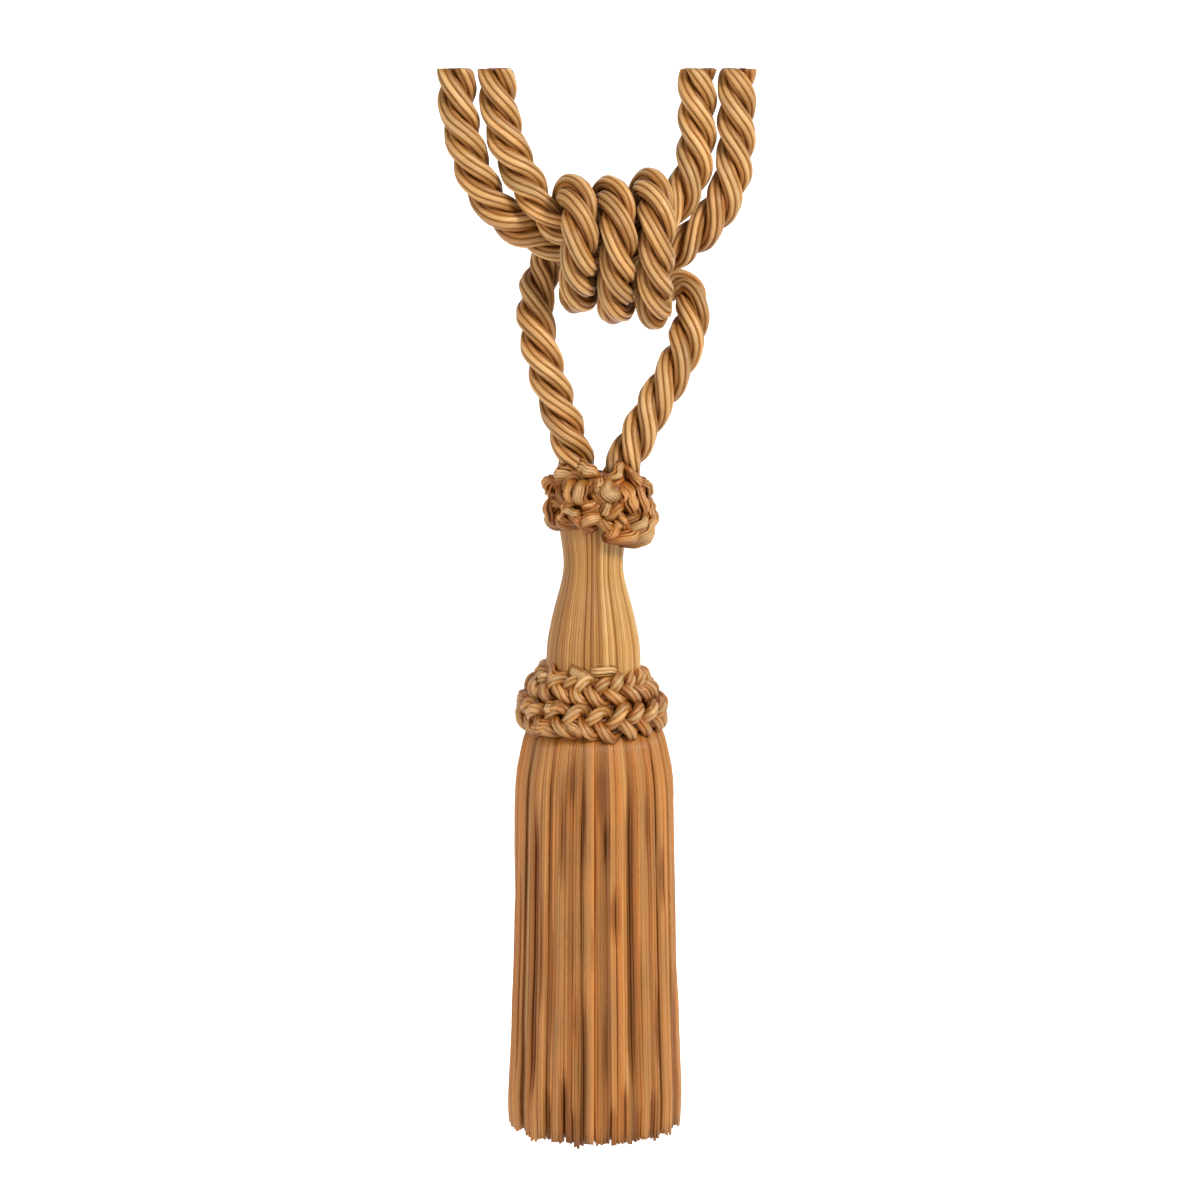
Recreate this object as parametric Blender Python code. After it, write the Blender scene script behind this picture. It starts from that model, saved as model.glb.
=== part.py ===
"""Curtain tieback tassel: two twisted embrace ropes held by the tassel's own cord.

The tassel hangs as it does in use, with the four rope ends cut level at the top.
Sizes and places below are in millimetres and are scaled to metres when a solid is made.
The origin is midway between the rope ends, in the plane of their cut faces, +Z is up
and -Y is the front.
"""

import math
import random
from collections import namedtuple

import bpy
from mathutils import Vector

MM = 0.001

# ---------------------------------------------------------------- finishes
Finish = namedtuple("Finish", "colour roughness")
ROPE_FINISH = Finish(colour=(0.58, 0.33, 0.13), roughness=0.42)
GIMP_FINISH = Finish(colour=(0.55, 0.30, 0.12), roughness=0.50)
NECK_FINISH = Finish(colour=(0.60, 0.35, 0.14), roughness=0.45)
FRINGE_FINISH = Finish(colour=(0.50, 0.26, 0.10), roughness=0.55)

# ---------------------------------------------------------------- twisted cord
ROPE_RADIUS = 6.1          # over the crowns of the strands
GROOVE_RADIUS = 4.5        # at the bottom of the groove between two strands
SHOULDER_RADIUS = 5.85     # halfway from a crown to a groove
STRANDS = 3
ROPE_LAY = 33.0            # length of rope in which a strand goes round once
RING_SPACING = 3.3         # rings of points along a rope
CURVE_STEPS = 14           # points of the smooth curve between two points of a route

# Centre lines, as (x, y, z).  Both embrace ropes run from the left end to the right.
OUTER_ROUTE = (
    (-43.8, 0.0, 0.0), (-43.8, 0.0, -6.5), (-43.6, 0.0, -13.2), (-42.0, 0.0, -20.5),
    (-38.6, 0.2, -32.0), (-33.6, 0.9, -41.6), (-26.6, 2.3, -48.9), (-18.8, 3.9, -53.3),
    (-12.5, 4.6, -57.1), (-5.4, 5.2, -60.6), (0.7, 5.2, -62.3), (7.0, 5.0, -62.8),
    (13.4, 4.6, -62.6), (19.4, 4.2, -61.8), (24.4, 3.6, -59.6), (28.2, 2.8, -56.8),
    (31.8, 1.8, -53.6), (35.8, 0.8, -49.4), (40.2, 0.2, -43.2), (43.3, 0.0, -35.2),
    (44.8, 0.0, -25.8), (45.0, 0.0, -13.2), (45.0, 0.0, -6.5), (45.0, 0.0, 0.0),
)
INNER_ROUTE = (
    (-31.1, 0.0, 0.0), (-31.0, 0.0, -6.5), (-30.3, 0.0, -13.2), (-28.9, 0.0, -19.5),
    (-27.0, -0.2, -25.8), (-24.0, -0.9, -32.3), (-20.8, -2.4, -38.2), (-18.0, -3.9, -42.6),
    (-14.8, -5.0, -47.0), (-11.0, -5.4, -50.5), (-6.4, -5.4, -52.6), (-1.8, -5.2, -53.2),
    (3.0, -5.0, -53.0), (7.8, -4.7, -52.4), (13.0, -4.4, -52.0), (18.4, -4.1, -50.8),
    (22.9, -3.6, -47.6), (26.6, -2.9, -42.6), (29.3, -1.9, -37.0), (31.4, -0.7, -30.4),
    (32.4, 0.0, -22.6), (32.5, 0.0, -13.2), (32.4, 0.0, -6.5), (32.4, 0.0, 0.0),
)
LEFT_LEG_ROUTE = (
    (-5.6, 3.4, -135.2), (-5.6, 3.4, -131.5), (-6.0, 3.3, -127.2), (-7.8, 2.6, -120.1),
    (-10.1, 1.6, -113.1), (-12.6, 1.0, -105.9), (-14.9, 1.0, -98.7), (-17.4, 2.2, -90.2),
    (-18.8, 4.6, -83.6), (-19.4, 8.0, -77.6), (-18.8, 12.0, -71.6), (-17.0, 15.4, -66.0),
)
RIGHT_LEG_ROUTE = (
    (19.2, 4.4, -77.8), (19.5, 8.2, -76.2), (20.0, 11.8, -73.6), (21.7, 15.0, -71.2),
    (25.6, 16.4, -70.2), (29.6, 15.0, -71.2), (31.2, 11.8, -73.8), (31.2, 8.6, -78.2),
    (30.3, 5.8, -83.8), (28.7, 3.2, -89.2), (26.4, 1.2, -94.4), (23.4, 0.0, -99.9),
    (19.7, -1.0, -106.0), (16.4, -1.8, -112.4), (12.9, -2.6, -118.8), (9.5, -3.2, -125.3),
    (7.6, -3.4, -130.0), (6.8, -3.4, -133.0), (6.6, -3.4, -135.2),
)

# Where a rope is squeezed thinner, by distance from its first point.
Pinch = namedtuple("Pinch", "start stop share")
PINCH_RAMP = 9.0
OUTER_PINCHES = (Pinch(start=68.0, stop=108.0, share=0.84),)
INNER_PINCHES = (Pinch(start=47.0, stop=96.0, share=0.82),)
CORD_PINCHES = (
    Pinch(start=78.0, stop=398.0, share=0.93),     # the turns
    Pinch(start=388.0, stop=418.0, share=0.82),    # the bend behind the last turn
)

# ------------------------------------------------- the three turns round the ropes
HalfTurn = namedtuple("HalfTurn", "centre_z half_span lean_deg")
HALF_TURNS = (             # one row for each bottom and top, from under the left leg on
    HalfTurn(centre_z=-50.6, half_span=6.7, lean_deg=51.0),
    HalfTurn(centre_z=-54.8, half_span=6.7, lean_deg=51.0),
    HalfTurn(centre_z=-56.6, half_span=6.7, lean_deg=48.0),
    HalfTurn(centre_z=-56.3, half_span=6.9, lean_deg=43.0),
    HalfTurn(centre_z=-58.9, half_span=6.9, lean_deg=38.0),
    HalfTurn(centre_z=-55.0, half_span=6.8, lean_deg=32.0),
    HalfTurn(centre_z=-59.8, half_span=6.8, lean_deg=32.0),
)
TURN_RADIUS = 12.3         # centre of the cord to the centre of the rope that it grips
TURN_ROUNDNESS = 2.5       # higher draws the turn's long sides straighter
TURN_PITCH = 12.2
FIRST_TOP_X = -7.0
BACK_SHIFT = 2.2           # how much of the pitch is made up behind the ropes
FRONT_BELLY = 1.5          # how far a turn's front stands to the right of its ends
TURN_STEP_DEG = 22.5
COIL_START_DEG = -90.0
COIL_END_DEG = 877.5

# ---------------------------------------------------------------- tassel head
Ring = namedtuple("Ring", "z radius")
NECK_AXIS_X = -0.6
NECK_COLUMNS = 48
NECK_RIB = 0.16            # how far every second column stands in
NECK_PROFILE = (
    Ring(-135.5, 12.3), Ring(-143.0, 11.6), Ring(-150.0, 10.6), Ring(-156.0, 9.7),
    Ring(-161.5, 9.6), Ring(-166.5, 10.7), Ring(-172.5, 12.5), Ring(-179.0, 14.0),
    Ring(-185.5, 15.0), Ring(-193.0, 15.3), Ring(-200.0, 15.9), Ring(-214.7, 17.4),
)

# ---------------------------------------------------------------- plaited trims
Plait = namedtuple(
    "Plait",
    "leaves wraps crest valley slant tilt_drop unevenness seed",
)
COLUMNS_PER_LEAF = 4
ROWS_PER_WRAP = 4
MIDDLE_ROW = 2                # between a wrap's two rows of leaves
LOWER_ROW = 3                 # the wrap's lower row of leaves
MIDDLE_DEPTH = 0.35           # depth of the middle row against the valley's
MIDDLE_WAVE = 0.3             # its height over a leaf against the crest's
LEAF_LEAN = 0.5               # how much of the slant a row of leaves has

COLLAR_AXIS_X = -1.1
COLLAR_FOOT = -214.7
COLLAR_OUTSIDE = (
    Ring(-193.0, 17.4), Ring(-195.6, 19.5), Ring(-198.6, 21.6), Ring(-201.2, 22.8),
    Ring(-203.4, 23.2), Ring(-206.2, 24.6), Ring(-209.4, 24.9), Ring(-212.4, 24.6),
    Ring(-214.9, 22.6),
)
COLLAR_INSIDE = (
    Ring(-214.5, 21.0), Ring(-213.9, 18.4), Ring(-201.0, 17.1), Ring(-194.2, 16.5),
)
COLLAR_PLAIT = Plait(
    leaves=20, wraps=2, crest=0.75, valley=1.25, slant=0.9, tilt_drop=1.1,
    unevenness=0.25, seed=11,
)

RUFF_AXIS_X = 1.0
RUFF_OUTSIDE = (
    Ring(-127.6, 16.0), Ring(-129.6, 17.3), Ring(-132.6, 17.9), Ring(-135.6, 17.6),
    Ring(-138.4, 17.0), Ring(-141.4, 18.2), Ring(-144.6, 18.4), Ring(-147.8, 17.0),
    Ring(-150.8, 14.2),
)
RUFF_INSIDE = (
    Ring(-150.6, 13.0), Ring(-144.0, 13.9), Ring(-136.0, 14.4), Ring(-129.4, 14.8),
)
RUFF_HOLE_FLATTENING = 0.16   # how much narrower its hole is from front to back
RUFF_OVAL_ABOVE = -130.0      # where the hole holds the cord's legs, not the neck
RUFF_PLAIT = Plait(
    leaves=13, wraps=2, crest=0.9, valley=1.3, slant=1.1, tilt_drop=1.4,
    unevenness=0.55, seed=23,
)
TUCK_AZIMUTH_DEG = -38.0      # the tucked end of the gimp, low at the front right
TUCK_Z = -147.5
TUCK_OUT = 3.2
TUCK_DOWN = 2.2
TUCK_WIDTH_DEG = 17.0
TUCK_HEIGHT = 3.6

# ---------------------------------------------------------------- cut fringe
SKIRT_AXIS_X = -0.2
SKIRT_SECTORS = 54
SKIRT_RINGS = 3
HEADING_TOP = -215.1
HEADING_FOOT = -217.3
HEADING_RADIUS = 23.2
CELL_DEPTH = 3.4              # from one ring of strands to the next
STRAND_DEPTH = 2.6
STRAND_GAP = 0.55             # between neighbours in a ring
TIP_WIDTH = 0.45              # a strand's tip against its width above
TIP_DEPTH = 0.7               # and against its depth
TIP_INSET = 0.3               # how far the tip draws in towards the axis
LENGTH_SPREAD = 2.0           # how unevenly the tips are cut
BULGE_SPREAD = 0.35           # how far outer strands stand in and out
OUTER_FALL = (                # outside of the outermost strands
    Ring(-222.6, 24.4), Ring(-232.0, 25.9), Ring(-285.0, 27.3), Ring(-336.5, 29.0),
    Ring(-344.6, 28.6),
)
INNER_FALL = (Ring(-232.0, 25.9), Ring(-344.0, 28.4))
Sway = namedtuple("Sway", "waves size phase")
SWAYS = (Sway(waves=5, size=0.40, phase=0.7), Sway(waves=11, size=0.12, phase=2.1))
SKIRT_SEED = 5


# ================================================================ shared helpers
def clear_scene():
    """Remove whatever the scene already holds."""
    for old in list(bpy.data.objects):
        bpy.data.objects.remove(old, do_unlink=True)


def thread_material(name, finish):
    """Make the plain satin finish of one sub-part."""
    material = bpy.data.materials.new(name)
    material.use_nodes = True
    shader = material.node_tree.nodes["Principled BSDF"]
    shader.inputs["Base Color"].default_value = (*finish.colour, 1.0)
    shader.inputs["Roughness"].default_value = finish.roughness
    shader.inputs["Metallic"].default_value = 0.0
    return material


def add_solid(name, points, faces, finish, sharp_deg=40.0):
    """Turn points in millimetres and their faces into one named object.

    Every sub-part has a material of its own, named after it.
    """
    mesh = bpy.data.meshes.new(name)
    mesh.from_pydata([tuple(MM * value for value in point) for point in points], [], faces)
    mesh.shade_smooth()
    mesh.set_sharp_from_angle(angle=math.radians(sharp_deg))
    mesh.materials.append(thread_material(f"{name}_thread", finish))
    solid = bpy.data.objects.new(name, mesh)
    bpy.context.scene.collection.objects.link(solid)
    return solid


def interpolate(table, position):
    """Read a table of named rows at a fractional row number."""
    low = min(max(int(math.floor(position)), 0), len(table) - 2)
    share = min(max(position - low, 0.0), 1.0)
    return type(table[0])(*(
        first + (second - first) * share
        for first, second in zip(table[low], table[low + 1])
    ))


# ================================================================ twisted cord
def smooth_curve(route):
    """Run a smooth curve through a route's points (centripetal Catmull-Rom)."""
    knots = [Vector(point) for point in route]
    knots = [2.0 * knots[0] - knots[1]] + knots + [2.0 * knots[-1] - knots[-2]]
    curve = []
    for index in range(1, len(knots) - 2):
        corners = knots[index - 1:index + 3]
        times = [0.0]
        for first, second in zip(corners, corners[1:]):
            times.append(times[-1] + math.sqrt((second - first).length))
        for step in range(CURVE_STEPS):
            time = times[1] + (times[2] - times[1]) * step / CURVE_STEPS
            curve.append(blend_corners(corners, times, time))
    curve.append(knots[-2])
    return curve


def blend_corners(corners, times, time):
    """Blend four points in the pyramid that a Catmull-Rom curve is made of."""
    points = corners
    for level in (((0, 1), (1, 2), (2, 3)), ((0, 2), (1, 3)), ((1, 2),)):
        points = [
            points[index].lerp(
                points[index + 1], (time - times[start]) / (times[stop] - times[start]),
            )
            for index, (start, stop) in enumerate(level)
        ]
    return points[0]


def even_stations(curve, spacing):
    """Place stations at even distances along a curve."""
    travelled = [0.0]
    for first, second in zip(curve, curve[1:]):
        travelled.append(travelled[-1] + (second - first).length)
    count = max(2, round(travelled[-1] / spacing))
    stations = []
    segment = 0
    for number in range(count + 1):
        target = travelled[-1] * number / count
        while segment < len(curve) - 2 and travelled[segment + 1] < target:
            segment += 1
        run = travelled[segment + 1] - travelled[segment]
        share = (target - travelled[segment]) / run
        stations.append(curve[segment].lerp(curve[segment + 1], share))
    return stations, travelled[-1]


def carried_frames(stations):
    """Carry a pair of cross directions along the stations without twisting them."""
    count = len(stations)
    tangents = []
    for index in range(count):
        ahead = stations[min(index + 1, count - 1)]
        behind = stations[max(index - 1, 0)]
        tangents.append((ahead - behind).normalized())
    tangents[0] = Vector((0.0, 0.0, math.copysign(1.0, tangents[0].z)))
    tangents[-1] = Vector((0.0, 0.0, math.copysign(1.0, tangents[-1].z)))
    normal = tangents[0].cross(Vector((0.0, 1.0, 0.0))).normalized()
    frames = []
    for index, tangent in enumerate(tangents):
        if index:
            turn = tangents[index - 1].rotation_difference(tangent)
            normal = turn @ normal
        normal = (normal - tangent * normal.dot(tangent)).normalized()
        frames.append((normal, tangent.cross(normal)))
    return frames


def lobed_section():
    """List the angle and radius of each point of the three-strand section."""
    radii = (GROOVE_RADIUS, SHOULDER_RADIUS, ROPE_RADIUS, SHOULDER_RADIUS)
    step = math.tau / (STRANDS * len(radii))
    return [
        (step * (strand * len(radii) + index), radius)
        for strand in range(STRANDS)
        for index, radius in enumerate(radii)
    ]


def pinched_share(pinches, distance):
    """Say how thick a rope is at a distance along it, against its free thickness."""
    shares = [1.0]
    for pinch in pinches:
        outside = max(pinch.start - distance, distance - pinch.stop, 0.0)
        ease = min(outside / PINCH_RAMP, 1.0)
        ease = ease * ease * (3.0 - 2.0 * ease)
        shares.append(pinch.share + (1.0 - pinch.share) * ease)
    return min(shares)


def twisted_rope(name, curve, pinches, finish):
    """Sweep the three-strand section along a curve, turning with the rope's lay."""
    stations, length = even_stations(curve, RING_SPACING)
    frames = carried_frames(stations)
    section = lobed_section()
    points = []
    for index, (centre, (normal, binormal)) in enumerate(zip(stations, frames)):
        distance = length * index / (len(stations) - 1)
        twist = -math.tau * distance / ROPE_LAY
        share = pinched_share(pinches, distance)
        for angle, radius in section:
            side = math.cos(angle + twist) * normal + math.sin(angle + twist) * binormal
            points.append(centre + share * radius * side)
    count = len(section)
    faces = [tuple(reversed(range(count)))]
    for ring in range(len(stations) - 1):
        start = ring * count
        for column in range(count):
            beside = (column + 1) % count
            faces.append((
                start + column, start + beside,
                start + count + beside, start + count + column,
            ))
    last = (len(stations) - 1) * count
    faces.append(tuple(range(last, last + count)))
    return add_solid(name, points, faces, finish, sharp_deg=60.0)


def turn_point(angle_deg):
    """Place a point of the cord's turns; 0 is the top, 90 the front, 180 the bottom."""
    angle = math.radians(angle_deg)
    turn = interpolate(HALF_TURNS, angle_deg / 180.0 + 1.0)
    outward = Vector((0.0, -math.sin(angle), math.cos(angle)))
    lean = math.radians(turn.lean_deg)
    pair = Vector((0.0, -math.sin(lean), math.cos(lean)))
    draw = math.tanh(TURN_ROUNDNESS * outward.dot(pair)) / math.tanh(TURN_ROUNDNESS)
    x = FIRST_TOP_X + TURN_PITCH * angle_deg / 360.0
    x += FRONT_BELLY * max(0.0, math.sin(angle)) ** 2 - BACK_SHIFT * (1.0 - math.cos(angle))
    centre = Vector((x, 0.0, turn.centre_z))
    return centre + TURN_RADIUS * outward + turn.half_span * draw * pair


def tassel_cord_route():
    """List the tassel cord's points: left leg, turns round the ropes, right leg."""
    count = round((COIL_END_DEG - COIL_START_DEG) / TURN_STEP_DEG)
    turns = [turn_point(COIL_START_DEG + TURN_STEP_DEG * step) for step in range(count + 1)]
    return list(LEFT_LEG_ROUTE) + turns + list(RIGHT_LEG_ROUTE)


# ================================================================ tassel head
def ribbed_neck(name, finish):
    """Turn the bell of the head, with every second column drawn in as a rib."""
    points = []
    for ring in NECK_PROFILE:
        for column in range(NECK_COLUMNS):
            angle = math.tau * column / NECK_COLUMNS
            radius = ring.radius - NECK_RIB * (column % 2)
            points.append((
                NECK_AXIS_X + radius * math.cos(angle), radius * math.sin(angle), ring.z,
            ))
    faces = [tuple(range(NECK_COLUMNS))]
    for level in range(len(NECK_PROFILE) - 1):
        start = level * NECK_COLUMNS
        for column in range(NECK_COLUMNS):
            beside = (column + 1) % NECK_COLUMNS
            faces.append((
                start + column, start + NECK_COLUMNS + column,
                start + NECK_COLUMNS + beside, start + beside,
            ))
    last = (len(NECK_PROFILE) - 1) * NECK_COLUMNS
    faces.append(tuple(reversed(range(last, last + NECK_COLUMNS))))
    return add_solid(name, points, faces, finish)


# ================================================================ plaited trims
def plait_relief(plait, row, column, lift):
    """Say how far one point of a plait stands out, and how far it slants round.

    A wrap has two rows of leaves that lean together like a herringbone; the lower
    row is half a leaf further on.
    """
    place = row % ROWS_PER_WRAP
    if row in (0, plait.wraps * ROWS_PER_WRAP):
        return 0.0, plait.slant
    if place == 0:
        return -plait.valley, plait.slant
    phase = column + (COLUMNS_PER_LEAF // 2 if place == LOWER_ROW else 0)
    crown = math.cos(math.tau * phase / COLUMNS_PER_LEAF)
    if place == MIDDLE_ROW:
        return MIDDLE_WAVE * plait.crest * crown - MIDDLE_DEPTH * plait.valley, 0.0
    height = plait.crest if crown > 0.0 else plait.valley
    return height * crown + lift, LEAF_LEAN * plait.slant


def plaited_ring(name, finish, axis_x, outside, inside, plait, shape_point):
    """Build a closed ring whose outer face is wound with a plait.

    shape_point may move a point on from (angle, radius, z) to suit the piece.
    """
    columns = plait.leaves * COLUMNS_PER_LEAF
    chance = random.Random(plait.seed)
    lifts = [
        [chance.uniform(-plait.unevenness, plait.unevenness) for _ in range(plait.leaves)]
        for _ in outside
    ]
    points = []
    for row, ring in enumerate(outside):
        for column in range(columns):
            lift = lifts[row][column // COLUMNS_PER_LEAF]
            out, slant = plait_relief(plait, row, column, lift)
            angle = math.tau * (column + slant * COLUMNS_PER_LEAF) / columns
            z = ring.z - plait.tilt_drop * math.cos(angle)
            points.append(shape_point(angle, ring.radius + out, z, False))
    for ring in inside:
        for column in range(columns):
            angle = math.tau * (column + plait.slant * COLUMNS_PER_LEAF) / columns
            points.append(shape_point(angle, ring.radius, ring.z, True))
    moved = [(axis_x + x, y, z) for x, y, z in points]
    rows = len(outside) + len(inside)
    faces = []
    for row in range(rows):
        start = row * columns
        below = ((row + 1) % rows) * columns
        for column in range(columns):
            beside = (column + 1) % columns
            faces.append((start + column, below + column, below + beside, start + beside))
    return add_solid(name, moved, faces, finish, sharp_deg=70.0)


def collar_point(angle, radius, z, is_inside):
    """Place a point of the lower collar, keeping its foot level."""
    level = z if is_inside else max(z, COLLAR_FOOT)
    return radius * math.cos(angle), radius * math.sin(angle), level


def ruff_point(angle, radius, z, is_inside):
    """Place a point of the top ruff: an oval hole, and the tucked end low on the right."""
    x = radius * math.cos(angle)
    y = radius * math.sin(angle)
    if is_inside:
        oval = RUFF_HOLE_FLATTENING if z > RUFF_OVAL_ABOVE else 0.0
        return x, y * (1.0 - oval), z
    across = (angle - math.radians(TUCK_AZIMUTH_DEG) + math.pi) % math.tau - math.pi
    along = (z - TUCK_Z) / TUCK_HEIGHT
    tuck = math.exp(-(across / math.radians(TUCK_WIDTH_DEG)) ** 2 - along ** 2)
    swell = 1.0 + TUCK_OUT * tuck / radius
    return x * swell, y * swell, z - TUCK_DOWN * tuck


# ================================================================ cut fringe
def sway_at(angle, share):
    """Say how far round the fringe has swung at an angle and a share of its fall."""
    return share * sum(
        sway.size * math.sin(sway.waves * angle + sway.phase) for sway in SWAYS
    )


def strand_ring(angle, radius, z, width, depth, share):
    """List the four corners of a strand at one level, outside first, seen from below."""
    swing = sway_at(angle, share)
    corners = []
    for side, edge in ((-1, 0.0), (1, 0.0), (1, -depth), (-1, -depth)):
        reach = radius + edge
        turn = angle + (side * width / 2.0 + swing) / radius
        corners.append((
            SKIRT_AXIS_X + reach * math.cos(turn), reach * math.sin(turn), z,
        ))
    return corners


def skirt_heading_points():
    """List the heading's underside grid and its top rim."""
    points = []
    for ring in range(SKIRT_RINGS + 1):
        radius = HEADING_RADIUS - CELL_DEPTH * ring
        for sector in range(SKIRT_SECTORS):
            angle = math.tau * sector / SKIRT_SECTORS
            points.append((
                SKIRT_AXIS_X + radius * math.cos(angle), radius * math.sin(angle),
                HEADING_FOOT,
            ))
    for radius in (HEADING_RADIUS, HEADING_RADIUS - CELL_DEPTH * SKIRT_RINGS):
        for sector in range(SKIRT_SECTORS):
            angle = math.tau * sector / SKIRT_SECTORS
            points.append((
                SKIRT_AXIS_X + radius * math.cos(angle), radius * math.sin(angle),
                HEADING_TOP,
            ))
    return points


def fringe_skirt(name, finish):
    """Build the heading and every strand that hangs from it as one closed body."""
    chance = random.Random(SKIRT_SEED)
    points = skirt_heading_points()
    faces = []
    grid = SKIRT_SECTORS
    outer_rim = (SKIRT_RINGS + 1) * grid
    inner_rim = outer_rim + grid
    for sector in range(grid):
        beside = (sector + 1) % grid
        faces.append((sector, beside, outer_rim + beside, outer_rim + sector))
        faces.append((
            outer_rim + sector, outer_rim + beside, inner_rim + beside, inner_rim + sector,
        ))
        foot = SKIRT_RINGS * grid
        faces.append((
            inner_rim + sector, inner_rim + beside, foot + beside, foot + sector,
        ))
    for ring in range(SKIRT_RINGS):
        fall = OUTER_FALL if ring == 0 else INNER_FALL
        for sector in range(grid):
            cell = (
                ring * grid + sector, ring * grid + (sector + 1) % grid,
                (ring + 1) * grid + (sector + 1) % grid, (ring + 1) * grid + sector,
            )
            add_strand(points, faces, cell, ring, sector, fall, chance)
    return add_solid(name, points, faces, finish)


def add_strand(points, faces, cell, ring, sector, fall, chance):
    """Hang one four-sided strand from its cell of the heading."""
    inset = CELL_DEPTH * ring + (CELL_DEPTH - STRAND_DEPTH) / 2.0
    angle = math.tau * (sector + 0.5) / SKIRT_SECTORS
    bulge = chance.uniform(-BULGE_SPREAD, BULGE_SPREAD)
    longer = chance.uniform(-LENGTH_SPREAD, LENGTH_SPREAD)
    levels = [Ring(HEADING_FOOT, HEADING_RADIUS)] + list(fall)
    previous = cell
    for number, level in enumerate(levels):
        share = (HEADING_FOOT - level.z) / (HEADING_FOOT - fall[-1].z)
        radius = level.radius - inset + (bulge if number else 0.0)
        width = math.tau * radius / SKIRT_SECTORS - STRAND_GAP
        depth = STRAND_DEPTH
        if number == len(levels) - 1:
            width *= TIP_WIDTH
            depth *= TIP_DEPTH
            radius -= TIP_INSET
        z = level.z - longer * share
        start = len(points)
        points.extend(strand_ring(angle, radius, z, width, depth, share))
        corners = tuple(range(start, start + 4))
        for side in range(4):
            after = (side + 1) % 4
            faces.append((previous[side], corners[side], corners[after], previous[after]))
        previous = corners
    faces.append(tuple(reversed(previous)))


# ================================================================ the whole piece
def build():
    """Build every sub-part of the tieback tassel."""
    clear_scene()
    twisted_rope("rope_outer", smooth_curve(OUTER_ROUTE), OUTER_PINCHES, ROPE_FINISH)
    twisted_rope("rope_inner", smooth_curve(INNER_ROUTE), INNER_PINCHES, ROPE_FINISH)
    cord = smooth_curve(tassel_cord_route())
    twisted_rope("tassel_cord", cord, CORD_PINCHES, ROPE_FINISH)
    ribbed_neck("neck", NECK_FINISH)
    plaited_ring(
        "braid_collar", GIMP_FINISH, COLLAR_AXIS_X, COLLAR_OUTSIDE, COLLAR_INSIDE,
        COLLAR_PLAIT, collar_point,
    )
    plaited_ring(
        "top_ruff", GIMP_FINISH, RUFF_AXIS_X, RUFF_OUTSIDE, RUFF_INSIDE, RUFF_PLAIT,
        ruff_point,
    )
    fringe_skirt("skirt", FRINGE_FINISH)


build()
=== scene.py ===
"""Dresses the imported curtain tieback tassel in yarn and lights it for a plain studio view.

The ropes, the yarn-covered head, the plaited trims and the cut fringe are laid yarn by
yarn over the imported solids.  Sizes are in millimetres until a mesh is made, in the frame
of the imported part: +Z is up, -Y is the front and the origin is between the rope ends.
"""

import logging
import math
from dataclasses import astuple, dataclass, field
from enum import Enum

import bpy
import numpy as np
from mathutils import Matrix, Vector


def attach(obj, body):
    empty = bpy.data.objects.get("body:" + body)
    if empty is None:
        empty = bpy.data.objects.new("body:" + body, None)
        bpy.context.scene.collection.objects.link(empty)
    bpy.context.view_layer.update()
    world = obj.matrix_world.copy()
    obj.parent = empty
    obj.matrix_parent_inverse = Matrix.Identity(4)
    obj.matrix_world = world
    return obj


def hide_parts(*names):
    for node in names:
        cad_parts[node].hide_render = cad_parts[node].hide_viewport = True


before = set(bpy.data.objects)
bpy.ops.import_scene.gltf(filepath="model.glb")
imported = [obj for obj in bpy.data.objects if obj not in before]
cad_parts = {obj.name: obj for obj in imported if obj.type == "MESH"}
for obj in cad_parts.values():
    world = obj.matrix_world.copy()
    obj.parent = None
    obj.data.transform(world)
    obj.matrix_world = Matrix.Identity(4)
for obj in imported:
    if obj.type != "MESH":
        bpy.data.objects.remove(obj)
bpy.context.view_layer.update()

MM = 0.001
TAU = math.tau
BODY = "root"
LOG = logging.getLogger("tieback_tassel")

Colour = tuple[float, float, float]
Point = tuple[float, float, float]
Route = tuple[Point, ...]
Profile = tuple[tuple[float, float], ...]     # heights and radii, from the top down
Array = np.ndarray


class FarEnd(Enum):
    """What is at a rope's far end."""

    BARE = "bare"       # cut level
    OBJECT = "object"   # it goes back into the head


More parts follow.
